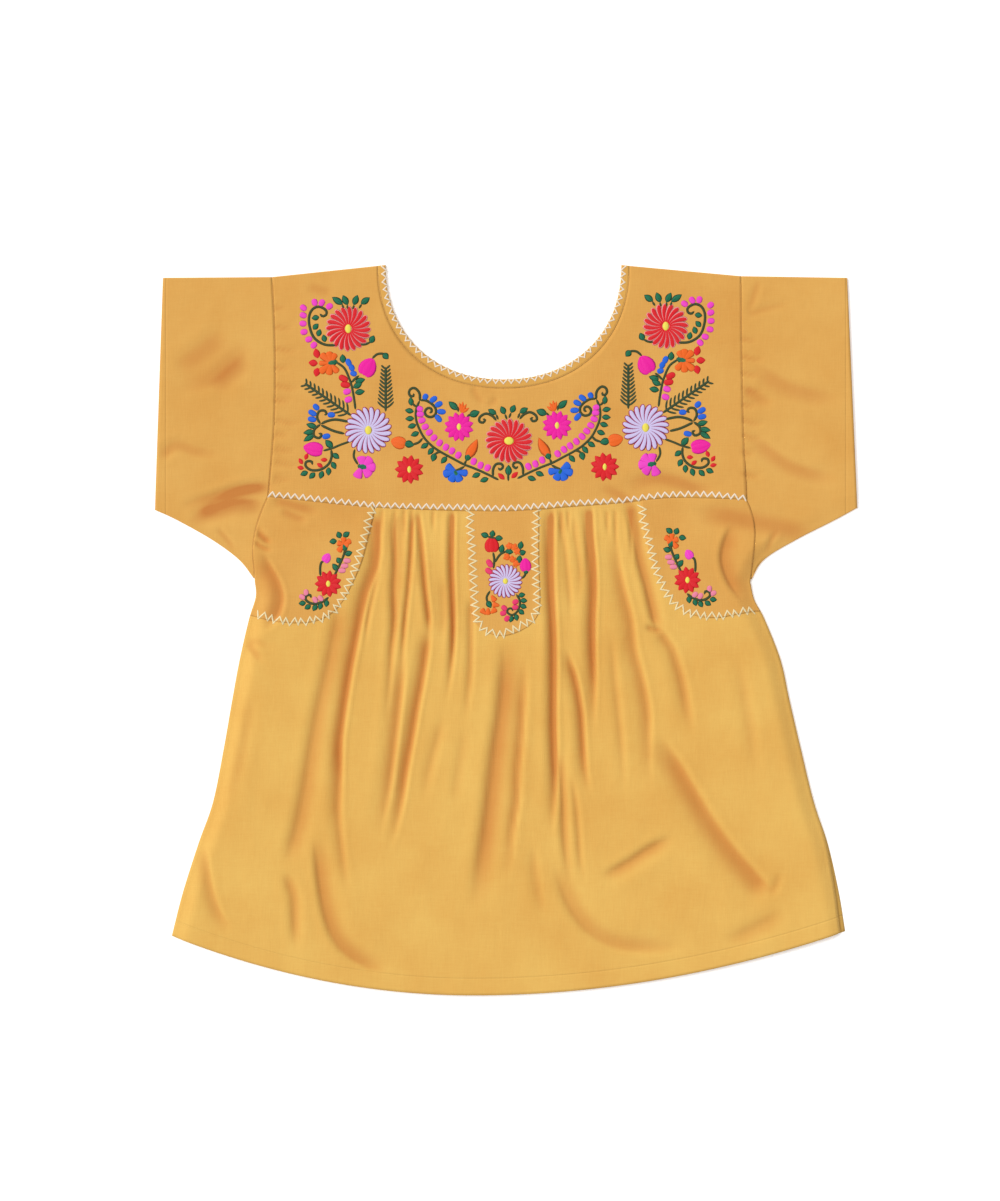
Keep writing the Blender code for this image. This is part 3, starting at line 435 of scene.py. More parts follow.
def relief(x, y, troughs=TUCKS + CREASES + WRINKLES):
    """How far the upper layer stands above its lowest place, at points in plan."""
    x, y = np.asarray(x, float), np.asarray(y, float)
    lift = np.interp(-y, [-h.y for h in LOFT], [h.lift for h in LOFT]) + troughs_at(x, y, troughs)[0]
    room = BACK_GATHER_ROOM * smoothstep((yoke_hem_y(x) - y) / BACK_GATHER_RISE)
    spread = lift - room
    lift = room + 0.5 * (spread + np.sqrt(spread**2 + FLOOR_SOFTNESS))
    nearest = np.min([np.abs(to_line(x, y, line)[0]) for line in CLOSED_EDGES], axis=0)
    return lift * smoothstep(nearest / EDGE_FADE)


print(len(TUCKS), "tucks,", len(CREASES), "creases,", len(WRINKLES), "wrinkles")

# %% [markdown]
# ## A helper for cloth
# Every panel is the same thing: a grid of threads that is bent into shape and then given a wall. A
# bmesh grid holds the threads, each of its corners is moved to its place, and Solidify adds the wall.
# A ring is a grid whose last row is merged with its first, as on a sleeve.

# %% Cloth helper
def lifted(plan, z):
    """Points in plan, with a height for each."""
    return np.concatenate([plan, np.broadcast_to(z, plan.shape[:-1])[..., None]], axis=-1)


def cloth_piece(name, grid, wall=WALL, ring=False, edge=None, shade=None):
    """A wall of cloth whose middle runs through a grid of points, in millimetres."""
    grid = np.asarray(grid) * MM
    if ring:
        grid = np.concatenate([grid, grid[:1]])
        edge = None if edge is None else np.concatenate([edge, edge[:1]])
        shade = None if shade is None else np.concatenate([shade, shade[:1]])
    rows, columns = grid.shape[:2]
    shape = bmesh.new()
    bmesh.ops.create_grid(shape, x_segments=columns - 1, y_segments=rows - 1, size=1.0)
    hem = shape.verts.layers.float.new("edge_mm")
    # This layer carries how much painted shade the material puts in the folds at each point.
    dip = shape.verts.layers.float.new("painted_shade_mm")
    flat = grid.reshape(-1, 3)
    far = np.full(len(flat), 99.0) if edge is None else np.asarray(edge).reshape(-1)
    deep = np.zeros(len(flat)) if shade is None else np.asarray(shade).reshape(-1)
    for vert, place, distance, depth in zip(shape.verts, flat, far, deep):
        vert.co = place
        vert[hem] = distance
        vert[dip] = depth
    if ring:
        bmesh.ops.remove_doubles(shape, verts=shape.verts, dist=1e-6)
    shape.normal_update()
    top = max(shape.faces, key=lambda f: f.calc_center_median().z)
    if top.normal.z < 0:
        bmesh.ops.reverse_faces(shape, faces=shape.faces)
    mesh = bpy.data.meshes.new(name)
    shape.to_mesh(mesh)
    shape.free()
    mesh.shade_smooth()
    obj = bpy.data.objects.new(name, mesh)
    bpy.context.scene.collection.objects.link(obj)
    thick = obj.modifiers.new("Wall", "SOLIDIFY")
    thick.thickness = wall * MM
    thick.offset = 0
    return obj


def panel_plan(top, foot, left, right):
    """A grid of points in plan between four lines. The side lines bend only the outer columns."""
    run = np.concatenate([[0], np.cumsum(np.hypot(*np.diff(left, axis=0).T))])
    down = (run / run[-1])[:, None, None]
    across = np.linspace(0, 1, len(top))[None, :, None]
    straight = top[None] * (1 - down) + foot[None] * down
    bend_left = (left - straight[:, 0])[:, None]
    bend_right = (right - straight[:, -1])[:, None]
    return straight + (1 - across) ** 2 * bend_left + across**2 * bend_right


def warp_lines(warps, end):
    """The x of each column at the yoke or at the hem."""
    xs = [getattr(warps[0], end)]
    for before, warp in zip(warps, warps[1:]):
        start, stop = getattr(before, end), getattr(warp, end)
        xs += list(np.linspace(start, stop, warp.columns + 1)[1:])
    return np.array(xs)


def turn(row, outwards, top_z, foot_z):
    """Rows that carry the cloth round a fold, from above down to below, at one edge of a leaf."""
    middle, radius = (top_z + foot_z) / 2, (top_z - foot_z) / 2
    rows = []
    for angle in FOLD_ANGLES:
        c, s = math.cos(math.radians(angle)), math.sin(math.radians(angle))
        rows.append(lifted(row[:, :2] + np.asarray(outwards) * radius * c, middle + radius * s))
    return rows


def folded_ring(front, back, top_z, foot_z):
    """Two leaves round the neck, joined by a rounded fold along each shoulder."""
    right = turn(front[-1], (0.0, 1.0), top_z, foot_z)
    left = turn(front[0], (0.0, 1.0), top_z, foot_z)[::-1]
    return np.array([*front, *right, *back, *left])


def sleeve_seam(side, outwards, yoke_steps, armhole_steps):
    """The seam line down the sleeve, moved away from the middle, as yoke and armhole stretches."""
    sign = -1 if side == "left" else 1
    yoke = smooth_path(side_points(YOKE_SIDE, side), yoke_steps)
    armhole = smooth_path(side_points(ARMHOLE, side), armhole_steps)
    yoke[0, 1] -= FOLD_REACH
    shift = np.array([sign * outwards, 0.0])
    return yoke + shift, armhole + shift


# %% [markdown]
# ## The body, front and back
# The front is gathered into the yoke, so its threads run close together there and spread towards the
# hem. That is why the columns of the grid fan out like the real threads: a fold then follows them. The
# front also runs up a little under the yoke, as a seam allowance does. The hem isn't turned up: its
# material draws a stitched line 15 mm above the edge.

# %% Body
ARMHOLE_STEPS, SIDE_STEPS = 28, 130
BODY_HEM, CUFF_HEM = 15.0, 10.0


def hem_y(x):
    """The height in plan of the bottom edge at each x."""
    x = np.asarray(x, float)
    left, right = SIDE_SEAM[-1][:2], SIDE_SEAM[-1][2:]
    k_left = (left[1] - HEM_LOW_Y) / (left[0] - HEM_LOW_X) ** 2
    k_right = (right[1] - HEM_LOW_Y) / (right[0] - HEM_LOW_X) ** 2
    return HEM_LOW_Y + np.where(x < HEM_LOW_X, k_left, k_right) * (x - HEM_LOW_X) ** 2


def back_seam_y(x):
    """The height in plan of the straight seam between the back yoke and the back body."""
    corners = YOKE_SIDE[-1]
    return np.interp(x, [corners.left_x, corners.right_x], [corners.left_y, corners.right_y])


def body_sides(front):
    """The left and right edges of a body panel, from the yoke to the hem."""
    sides = []
    for side in ("left", "right"):
        armhole = sleeve_seam(side, -SEAM / 2, 10, ARMHOLE_STEPS)[1]
        seam = smooth_path(side_points(SIDE_SEAM, side), SIDE_STEPS)
        seam[0] = armhole[-1]
        if front and side == "right":
            vent = smoothstep((VENT_TOP_Y - seam[:, 1]) / (VENT_TOP_Y - seam[-1, 1]))
            seam[:, 0] -= VENT_SHOW * vent
        sides.append(np.vstack([armhole, seam[1:]]))
    return sides


def body_plan(warps, seam_line, left, right):
    """The grid in plan of one body panel."""
    top_x, hem_x = warp_lines(warps, "yoke_x"), warp_lines(warps, "hem_x")
    top_x = np.interp(top_x, [top_x[0], top_x[-1]], [left[0, 0], right[0, 0]])
    hem_x = np.interp(hem_x, [hem_x[0], hem_x[-1]], [left[-1, 0], right[-1, 0]])
    top = np.column_stack([top_x, seam_line(top_x)])
    foot = np.column_stack([hem_x, hem_y(hem_x)])
    foot[0], foot[-1] = left[-1], right[-1]
    return panel_plan(top, foot, left, right)


def back_gathers(x, y):
    """How far the back stands off the table: gathers below its seam, pressed nearly flat."""
    below = back_seam_y(x) - y
    straight_x = x / (1 + BACK_GATHER_FLARE * below / BACK_GATHER_LENGTH)
    wave = 0.5 - 0.5 * np.cos(math.pi * BACK_GATHERS * (straight_x / BACK_GATHER_HALF_WIDTH + 1))
    inside = np.abs(straight_x) < BACK_GATHER_HALF_WIDTH
    fade_in = smoothstep(below / BACK_GATHER_RISE)
    fade_out = smoothstep((BACK_GATHER_LENGTH - below) / BACK_GATHER_FALL)
    return BACK_GATHER_HEIGHT * wave * fade_in * fade_out * inside


def back_lift(x, y):
    """How far the back of any piece stands off the table, in its gathers and creases."""
    return back_gathers(x, y) + troughs_at(x, y, BACK_FOLDS)[1]


def front_grid():
    """The front body's middle surface: a lap under the yoke, then rows down to the hem."""
    left, right = body_sides(front=True)
    plan = body_plan(FRONT_WARPS, yoke_hem_y, left, right)
    lap = plan[:1] * (YOKE_LAP_INSET, 1.0) + (0.0, YOKE_LAP)
    plan = np.concatenate([lap, plan])
    return lifted(plan, FRONT_MID + relief(plan[..., 0], plan[..., 1]))


def back_grid():
    """The back body's middle surface, flat on the table but for its gathers and creases."""
    left, right = body_sides(front=False)
    few = [*range(ARMHOLE_STEPS + 1), *range(ARMHOLE_STEPS + 2, ARMHOLE_STEPS + SIDE_STEPS + 1, 2)]
    plan = body_plan(BACK_WARPS, lambda x: back_seam_y(x) - SEAM, left[few], right[few])
    x, y = plan[..., 0], plan[..., 1]
    return lifted(plan, WALL / 2 + back_lift(x, y))


def painted_shade_depth(grid, troughs):
    """How much painted shade each point of a grid gets in the material: its depth in the folds, or the
    back's lift times BACK_SHADE.
    """
    x, y, z = grid[..., 0], grid[..., 1], grid[..., 2]
    upper = z > FRONT_MID - CLOTH / 2
    return np.where(upper, troughs_at(x, y, troughs)[1], BACK_SHADE * back_lift(x, y))


ALL_FOLDS = TUCKS + CREASES + WRINKLES
FRONT = front_grid()
BACK = back_grid()
body_front = cloth_piece("blouse_front", FRONT, edge=FRONT[..., 1] - hem_y(FRONT[..., 0]),
                         shade=painted_shade_depth(FRONT, ALL_FOLDS))
body_back = cloth_piece("blouse_back", BACK, edge=BACK[..., 1] - hem_y(BACK[..., 0]),
                        shade=painted_shade_depth(BACK, ()))
print("front", FRONT.shape[:2], "back", BACK.shape[:2])

# %% [markdown]
# ## The yoke and the neck band
# The yoke is one square of cloth folded over the shoulders, with the neck cut out of it. Its threads
# could run straight, but a ring of spokes from the neck to the edge keeps the neck's curve clean and
# lets one grid go round the front, over the right shoulder, across the back and home.

# %% Yoke and neck band
YOKE_SIDE_STEPS, YOKE_HEM_STEPS = 60, 130
NECK_STEPS = 2 * YOKE_SIDE_STEPS + YOKE_HEM_STEPS
YOKE_SPOKES = np.linspace(0, 1, 46)
BAND_SPOKES = np.linspace(0, 1, 5)


def neck_line(outwards, steps):
    """The neck curve from the left shoulder down and up to the right, this far outside the edge."""
    half, depth = NECK_HALF_WIDTH + outwards, NECK_DEPTH + outwards
    top = NECK_TOP - SHOULDER_SLOPE * outwards - FOLD_REACH
    line = []
    for angle in np.linspace(math.pi, 2 * math.pi, 40 * CURVE_SAMPLES):
        c, s = math.cos(angle), math.sin(angle)
        x = math.copysign(abs(c) ** (2 / NECK_POWER), c)
        y = math.copysign(abs(s) ** (2 / NECK_POWER), s)
        line.append((NECK_X + half * x, top + depth * min(y, 0.0)))
    return evenly(np.array(line), steps)


def yoke_outer_edge(front):
    """The yoke's outline from the left shoulder, down, across and up to the right shoulder."""
    left = sleeve_seam("left", -SEAM / 2, YOKE_SIDE_STEPS, 6)[0]
    right = sleeve_seam("right", -SEAM / 2, YOKE_SIDE_STEPS, 6)[0]
    xs = np.linspace(left[-1, 0], right[-1, 0], YOKE_HEM_STEPS + 1)[1:-1]
    ys = yoke_hem_y(xs) if front else back_seam_y(xs)
    return np.vstack([left, np.column_stack([xs, ys]), right[::-1]])


def yoke_lift(x, y):
    """The yoke's extra height near its lower edge, where it lies on the gathered front."""
    above = y - yoke_hem_y(x)
    return YOKE_LIFT * (1 - smoothstep((above - YOKE_LIFT_FLAT) / (YOKE_LIFT_END - YOKE_LIFT_FLAT)))


def yoke_grid():
    """The yoke's middle surface as one ring."""
    inner = neck_line(NECK_BAND + SEAM, NECK_STEPS)
    front_plan = np.stack([inner + (yoke_outer_edge(True) - inner) * s for s in YOKE_SPOKES], axis=1)
    back_plan = np.stack([inner + (yoke_outer_edge(False) - inner) * s for s in YOKE_SPOKES], axis=1)
    x, y = front_plan[..., 0], front_plan[..., 1]
    front = lifted(front_plan, FRONT_MID + relief(x, y, CREASES + WRINKLES) + yoke_lift(x, y))
    front[0, :, 2] = front[-1, :, 2] = FRONT_MID
    back = lifted(back_plan, WALL / 2 + back_lift(back_plan[..., 0], back_plan[..., 1]))[::-1]
    return folded_ring(front, back, FRONT_MID, WALL / 2)


def band_grid():
    """The neck band's middle surface as one ring."""
    lines = [neck_line(NECK_BAND * s, NECK_STEPS) for s in BAND_SPOKES]
    plan = np.stack(lines, axis=1)
    foot_z, top_z = BAND_CLOTH / 2, FRONT_MID + (WALL - BAND_CLOTH) / 2 + BAND_PROUD
    front = lifted(plan, top_z + relief(plan[..., 0], plan[..., 1], CREASES + WRINKLES))
    front[0, :, 2] = front[-1, :, 2] = top_z
    return folded_ring(front, lifted(plan, foot_z)[::-1], top_z, foot_z)


YOKE = yoke_grid()
yoke = cloth_piece("blouse_yoke", YOKE, ring=True, shade=painted_shade_depth(YOKE, CREASES + WRINKLES))
neck_band = cloth_piece("blouse_neck_band", band_grid(), wall=BAND_CLOTH, ring=True)
print("yoke spokes", NECK_STEPS)

# %% [markdown]
# ## The sleeves
# Each sleeve is a short wide tube that lies pressed flat: folded along its top, sewn along the
# underarm, and open at the cuff. One ring of rows goes down the front and back up behind.

# %% Sleeves
SLEEVE_COLUMNS = 42
SLEEVE_YOKE_STEPS = 66


def sleeve_grid(side):
    """The sleeve's middle surface as one ring, and how far each point is from the cuff."""
    sign = -1 if side == "left" else 1
    yoke_part, armhole = sleeve_seam(side, SEAM / 2, SLEEVE_YOKE_STEPS, ARMHOLE_STEPS)
    seam = np.vstack([yoke_part, armhole[1:]])
    steps = len(seam) - 1
    cuff_top = np.array(side_points([CUFF_TOP], side)[0])
    top = np.linspace(seam[0], cuff_top - (0, FOLD_REACH), SLEEVE_COLUMNS + 1)
    foot = smooth_path(side_points(UNDERARM, side), SLEEVE_COLUMNS)
    along_foot = np.gradient(foot, axis=0)
    along_foot /= np.linalg.norm(along_foot, axis=1, keepdims=True)
    outwards = np.column_stack([along_foot[:, 1], -along_foot[:, 0]]) * sign
    along_seam = (seam[-1] - seam[-2]) / np.linalg.norm(seam[-1] - seam[-2])
    corner_sine = -np.dot(along_seam, outwards[0])
    seam[-1] -= along_seam * FOLD_REACH / abs(corner_sine)
    foot -= outwards * FOLD_REACH
    foot[0] = seam[-1]
    cuff = evenly(np.array([top[-1], foot[-1]]), steps)
    down = np.linspace(0, 1, steps + 1)[:, None, None]
    across = np.linspace(0, 1, SLEEVE_COLUMNS + 1)[None, :, None]
    plan = (
        (1 - across) * seam[:, None] + across * cuff[:, None] + (1 - down) * top[None] + down * foot[None]
        - (1 - down) * ((1 - across) * seam[0] + across * cuff[0])
        - down * ((1 - across) * seam[-1] + across * cuff[-1])
    )
    front = lifted(plan, FRONT_MID + relief(plan[..., 0], plan[..., 1]))
    front[0, :, 2] = front[-1, :, 2] = FRONT_MID
    back = lifted(plan, WALL / 2 + back_lift(plan[..., 0], plan[..., 1]))[::-1]
    foot_turn = turn(front[-1], outwards, FRONT_MID, WALL / 2)
    top_turn = turn(front[0], (0.0, 1.0), FRONT_MID, WALL / 2)[::-1]
    ring = np.array([*front, *foot_turn, *back, *top_turn])
    edge = np.abs(ring[..., 0] - np.where(ring[..., 0] < 0, cuff[:, 0].min(), cuff[:, 0].max()))
    return (ring[:, ::-1], edge[:, ::-1]) if side == "right" else (ring, edge)


sleeves = []
for side in ("left", "right"):
    ring, edge = sleeve_grid(side)
    sleeves.append(cloth_piece(f"blouse_sleeve_{side}", ring, ring=True, edge=edge,
                               shade=painted_shade_depth(ring, ALL_FOLDS)))
print(len(sleeves), "sleeves")

# %% [markdown]
# ## The patches
# Three pieces are sewn on the front below the yoke: two that fill the corners by the armholes and one
# in the middle with a round end. They lie on the front and follow its folds. Cutting them out of a copy
# of the front would leave ragged edges, so each has its own grid between four smooth edges, which then
# takes its height from the same folds as the front.

# %% Patches
LEFT_PATCH_EDGE = (
    Point(-118.8, 111.0),
    Point(-119.5, 104.0),
    Point(-124.0, 85.0),
    Point(-130.0, 62.0),
    Point(-139.0, 41.0),
    Point(-149.5, 23.0),
    Point(-162.0, 12.0),
    Point(-177.0, 7.0),
    Point(-195.0, 6.5),
    Point(-214.0, 9.0),
    Point(-230.0, 13.0),
)
RIGHT_PATCH_EDGE = (
    Point(121.3, 111.0),
    Point(121.8, 103.0),
    Point(125.5, 82.0),
    Point(131.0, 62.0),
    Point(139.0, 43.0),
    Point(148.0, 29.0),
    Point(159.0, 18.0),
    Point(172.0, 12.5),
    Point(188.0, 11.0),
    Point(204.0, 13.5),
    Point(220.0, 16.5),
    Point(228.5, 17.0),
)
CENTRE_PATCH_EDGE = (
    Point(-35.0, 107.0),
    Point(-34.5, 60.0),
    Point(-32.0, 22.0),
    Point(-28.0, 7.0),
    Point(-17.0, -2.0),
    Point(-4.0, -5.0),
    Point(9.0, -2.0),
    Point(21.0, 5.0),
    Point(28.5, 15.0),
    Point(30.0, 30.0),
    Point(29.0, 60.0),
    Point(29.0, 108.0),
)
PATCH_LIFT = WALL + 0.1  # from the middle of the front's wall to the middle of the patch's
PATCH_STEPS = 64
CORNER_SHARE, TAB_CORNERS = 0.52, (0.44, 0.58)
PATCH_INSET = 0.4  # from the armhole to the edge of a patch, in millimetres


def between_edges(top, foot, left, right):
    """A grid in plan between four edges that meet at their ends."""
    down = np.linspace(0, 1, len(left))[:, None, None]
    across = np.linspace(0, 1, len(top))[None, :, None]
    return (
        (1 - down) * top[None] + down * foot[None] + (1 - across) * left[:, None] + across * right[:, None]
        - (1 - down) * ((1 - across) * top[0] + across * top[-1])
        - down * ((1 - across) * foot[0] + across * foot[-1])
    )


def make_patch(name, plan):
    """A patch that lies on the front and follows its folds."""
    x, y = plan[..., 0], plan[..., 1]
    step = 0.5
    slope_x = (relief(x + step, y) - relief(x - step, y)) / (2 * step)
    slope_y = (relief(x, y + step) - relief(x, y - step)) / (2 * step)
    rise = PATCH_LIFT * np.sqrt(1 + slope_x**2 + slope_y**2)
    grid = lifted(plan, FRONT_MID + relief(x, y) + rise)
    return cloth_piece(name, grid, shade=painted_shade_depth(grid, ALL_FOLDS))


def part_of(line, start, stop):
    """A stretch of a line between two shares of its length, with PATCH_STEPS + 1 points."""
    return evenly(line[round(start * (len(line) - 1)) : round(stop * (len(line) - 1)) + 1], PATCH_STEPS)


def yoke_seam(start_x, end_x):
    """The top edge of a patch, just below the yoke."""
    xs = np.linspace(start_x, end_x, PATCH_STEPS + 1)
    return np.column_stack([xs, yoke_hem_y(xs) - SEAM])


def corner_patch(name, edge, side):
    """A patch that fills the corner between the yoke and the armhole."""
    sign = -1 if side == "left" else 1
    edge = smooth_path(edge, 10 * PATCH_STEPS)
    armhole = np.vstack([sleeve_seam(side, -SEAM / 2, 10, ARMHOLE_STEPS)[1],
                         smooth_path(side_points(SIDE_SEAM, side), SIDE_STEPS)[1:]])
    inset = armhole - (sign * PATCH_INSET, 0.0)
    last = np.argmin(np.abs(inset[:, 1] - edge[-1, 1]))
    outer = evenly(inset[: last + 1], PATCH_STEPS)
    outer[0, 1] = yoke_hem_y(outer[0, 0]) - SEAM
    edge[0, 1] = yoke_hem_y(edge[0, 0]) - SEAM
    edge[-1] = outer[-1]
    inner, foot = part_of(edge, 0, CORNER_SHARE), part_of(edge, CORNER_SHARE, 1)
    top = yoke_seam(outer[0, 0], inner[0, 0])
    plan = between_edges(top, foot[::-1], outer, inner)
    return make_patch(name, plan if side == "left" else plan[:, ::-1])


def tab_patch(name, edge):
    """The patch with the round end."""
    edge = smooth_path(edge, 10 * PATCH_STEPS)
    edge[0, 1], edge[-1, 1] = yoke_hem_y(edge[[0, -1], 0]) - SEAM
    left, foot = part_of(edge, 0, TAB_CORNERS[0]), part_of(edge, *TAB_CORNERS)
    right = part_of(edge, TAB_CORNERS[1], 1)[::-1]
    top = yoke_seam(left[0, 0], right[0, 0])
    return make_patch(name, between_edges(top, foot, left, right))


patches = [
    corner_patch("blouse_patch_left", LEFT_PATCH_EDGE, "left"),
    corner_patch("blouse_patch_right", RIGHT_PATCH_EDGE, "right"),
    tab_patch("blouse_patch_centre", CENTRE_PATCH_EDGE),
]
print(len(patches), "patches")

# %% [markdown]
# ## The cotton
# The cloth is plain-woven cotton dyed a golden yellow, matt, with a faint bloom at grazing angles from
# its fibre ends. What the eye sees from a step away is not the weave but its unevenness: slubs along
# the warp and the weft, and soft patches where the dye took differently. Thread spacing is 0.4 mm,
# which a render of the whole blouse can't show, so the slubs are drawn a few threads wide.

# %% Cotton
PAINTED_SHADE_TINT = 0.66  # how far the painted shade in a deep fold takes the colour to the redder one
SHALLOW_FOLD, DEEP_FOLD = 0.15, 4.8  # millimetres of depth in a fold, between which the painted shade grows
ALONG_SLUB, ACROSS_SLUB = 90.0, 1400.0  # how many slubs to a metre
WEAVE_SHARE = 0.30  # how much the slubs count in the colour, beside the dye
EVEN_DYE, STRONG_DYE = 0.55, 1.05
HEM_LINE = 1.3  # half the width of a hem's stitched line, in millimetres


def from_hex(code):
    """A linear colour from an sRGB hex value."""
    parts = [int(code[i : i + 2], 16) / 255 for i in (1, 3, 5)]
    return (*[c / 12.92 if c <= 0.04045 else ((c + 0.055) / 1.055) ** 2.4 for c in parts], 1.0)


def add_node(material, kind, links=(), **settings):
    """Adds one node: settings are its sockets by name or its own values, links are (socket, output)."""
    node = material.node_tree.nodes.new(kind)
    for name, value in settings.items():
        if hasattr(node, name):
            setattr(node, name, value)
        else:
            node.inputs[name.replace("_", " ")].default_value = value
    for socket, output in links:
        material.node_tree.links.new(node.inputs[socket], output)
    return node


def new_material(name):
    """A material with a Principled shader, and that shader."""
    material = bpy.data.materials.new(name)
    material.use_nodes = True
    return material, material.node_tree.nodes["Principled BSDF"]


EVEN_CRUMPLE, HANGING_CRUMPLE = (36.0, 36.0, 36.0), (48.0, 20.0, 48.0)  # creases per metre


def cotton(name, light, deep, fold, crumple, hem_width=0.0):
    """Golden cotton between two colours, with painted shade that turns it redder in its folds, and a hem
    line if it has one.
    """
    material, shader = new_material(name)
    links = material.node_tree.links
    place = add_node(material, "ShaderNodeTexCoord").outputs["Object"]
    dye = add_node(material, "ShaderNodeTexNoise", [("Vector", place)], Scale=16.0, Detail=3.0,
                   Roughness=0.5)
    slubs = []
    for stretch in ((ALONG_SLUB, ACROSS_SLUB, ALONG_SLUB), (ACROSS_SLUB, ALONG_SLUB, ALONG_SLUB)):
        threads = add_node(material, "ShaderNodeMapping", [("Vector", place)], Scale=stretch)
        slubs.append(add_node(material, "ShaderNodeTexNoise", [("Vector", threads.outputs["Vector"])],
                              Scale=1.0, Detail=2.0, Roughness=0.5))
    weave = add_node(material, "ShaderNodeMath", [(0, slubs[0].outputs["Fac"]),
                                                  (1, slubs[1].outputs["Fac"])],
                     operation="ADD")
    uneven = add_node(material, "ShaderNodeMath", [(0, weave.outputs[0]), (2, dye.outputs["Fac"])],
                      operation="MULTIPLY_ADD")
    uneven.inputs[1].default_value = WEAVE_SHARE
    amount = add_node(material, "ShaderNodeMapRange", [("Value", uneven.outputs[0])])
    amount.inputs["From Min"].default_value = EVEN_DYE
    amount.inputs["From Max"].default_value = STRONG_DYE
    colour = add_node(material, "ShaderNodeMix", [(0, amount.outputs[0])], data_type="RGBA")
    colour.inputs[6].default_value = from_hex(light)
    colour.inputs[7].default_value = from_hex(deep)
    # Painted shade: the deeper a point lies in a fold, the more of the darker, redder colour is mixed in.
    hollow = add_node(material, "ShaderNodeAttribute", attribute_name="painted_shade_mm")
    depth = add_node(material, "ShaderNodeMapRange", [("Value", hollow.outputs["Fac"])])
    depth.inputs["From Min"].default_value = SHALLOW_FOLD
    depth.inputs["From Max"].default_value = DEEP_FOLD
    depth.inputs["To Max"].default_value = PAINTED_SHADE_TINT
    painted_shade_mix = add_node(material, "ShaderNodeMix", [(0, depth.outputs[0]), (6, colour.outputs[2])],
                      data_type="RGBA")
    painted_shade_mix.inputs[7].default_value = from_hex(fold)
    links.new(shader.inputs["Base Color"], painted_shade_mix.outputs[2])
    creases = add_node(material, "ShaderNodeMapping", [("Vector", place)], Scale=crumple)
    creased = add_node(material, "ShaderNodeTexNoise", [("Vector", creases.outputs["Vector"])],
                       Scale=1.0, Detail=2.0, Roughness=0.5, Distortion=0.25)
    crumpled = add_node(material, "ShaderNodeBump", [("Height", creased.outputs["Fac"])],
                        Strength=0.6, Distance=0.0012)
    bump = add_node(material, "ShaderNodeBump", [("Height", weave.outputs[0]),
                                                 ("Normal", crumpled.outputs[0])],
                    Strength=0.35, Distance=0.0004)
    if hem_width:
        edge = add_node(material, "ShaderNodeAttribute", attribute_name="edge_mm")
        off = add_node(material, "ShaderNodeMath", [(0, edge.outputs["Fac"])], operation="SUBTRACT")
        off.inputs[1].default_value = hem_width
        away = add_node(material, "ShaderNodeMath", [(0, off.outputs[0])], operation="ABSOLUTE")
        groove = add_node(material, "ShaderNodeMapRange", [("Value", away.outputs[0])],
                          interpolation_type="SMOOTHSTEP")
        groove.inputs["From Max"].default_value = HEM_LINE
        bump = add_node(material, "ShaderNodeBump", [("Height", groove.outputs[0]),
                                                     ("Normal", bump.outputs[0])],
                        Strength=0.6, Distance=0.0005)
    links.new(shader.inputs["Normal"], bump.outputs[0])
    shader.inputs["Roughness"].default_value = 0.82
    shader.inputs["Specular IOR Level"].default_value = 0.25
    shader.inputs["Sheen Weight"].default_value = 0.12
    shader.inputs["Sheen Roughness"].default_value = 0.5
    return material


# The colour of the painted shade in the folds.
PAINTED_FOLD_SHADE = "#BE6426"
COTTON = cotton("golden_cotton", "#E2AB57", "#D99C4A", PAINTED_FOLD_SHADE, EVEN_CRUMPLE)
HEMMED_COTTON = cotton("golden_cotton_hemmed", "#EABB60", "#E1AA52", PAINTED_FOLD_SHADE, HANGING_CRUMPLE,
                       BODY_HEM)
CUFF_COTTON = cotton("golden_cotton_cuff", "#E3AE5A", "#DBA04D", PAINTED_FOLD_SHADE, EVEN_CRUMPLE, CUFF_HEM)
BAND_COTTON = cotton("golden_cotton_band", "#E1AD57", "#D79C48", PAINTED_FOLD_SHADE, EVEN_CRUMPLE)
WORN_BY = (
    (HEMMED_COTTON, (body_front, body_back)),
    (COTTON, (yoke, *patches)),
    (BAND_COTTON, (neck_band,)),
    (CUFF_COTTON, sleeves),
)
for material, pieces in WORN_BY:
    for obj in pieces:
        obj.data.materials.append(material)
print("cotton on", sum(len(pieces) for _, pieces in WORN_BY), "pieces")

# %% [markdown]
# ## Threads that lie on the cloth
# Embroidery is thread laid side by side over the cloth until it fills a shape. From a step away each
# filled shape reads as one low, rounded, shiny pillow with fine lines across it. So one helper makes
# such a pillow: rings of points along a middle line, wide in the middle and drawn together at the ends.
# A ray cast down from above finds the cloth, and every point is set on it.
# Places are given in pixels of the photograph, 0.9 mm each, and were read off enlarged parts of it.

# %% Pillows of thread
CLOTH_X, CLOTH_Y = 506.5, 630.0  # the pixel that lies over the origin
SUNK = 0.12  # mm that the underside of a stitch goes into the cloth
STITCH_HEIGHT, FLAT_STITCH = 0.42, 0.30
RIM_SHARE = 0.55  # how high a rim is, as a share of the petal over it
VINE_HEIGHT, VEIN_HEIGHT, LEAFLET_HEIGHT = STITCH_HEIGHT * 0.9, STITCH_HEIGHT * 1.25, STITCH_HEIGHT * 0.7
EYE_HEIGHT, BUD_HEIGHT = STITCH_HEIGHT * 1.9, STITCH_HEIGHT * 1.3
LEG_HEIGHT, SEAM_HEIGHT = STITCH_HEIGHT * 1.2, STITCH_HEIGHT * 0.45
RING_TOP = (-1.0, -0.6, 0.0, 0.6, 1.0)
PETAL_STEPS = 8
ACROSS = np.array([*RING_TOP, 0.0])
RISE = np.array([math.sqrt(1 - v * v) for v in RING_TOP] + [0.0])
FOOT = np.array([0.0] * len(RING_TOP) + [SUNK])
STITCHES = {}

graph = bpy.context.evaluated_depsgraph_get()
CARRIERS = [BVHTree.FromObject(obj, graph) for obj in (body_front, yoke, neck_band, *sleeves, *patches)]


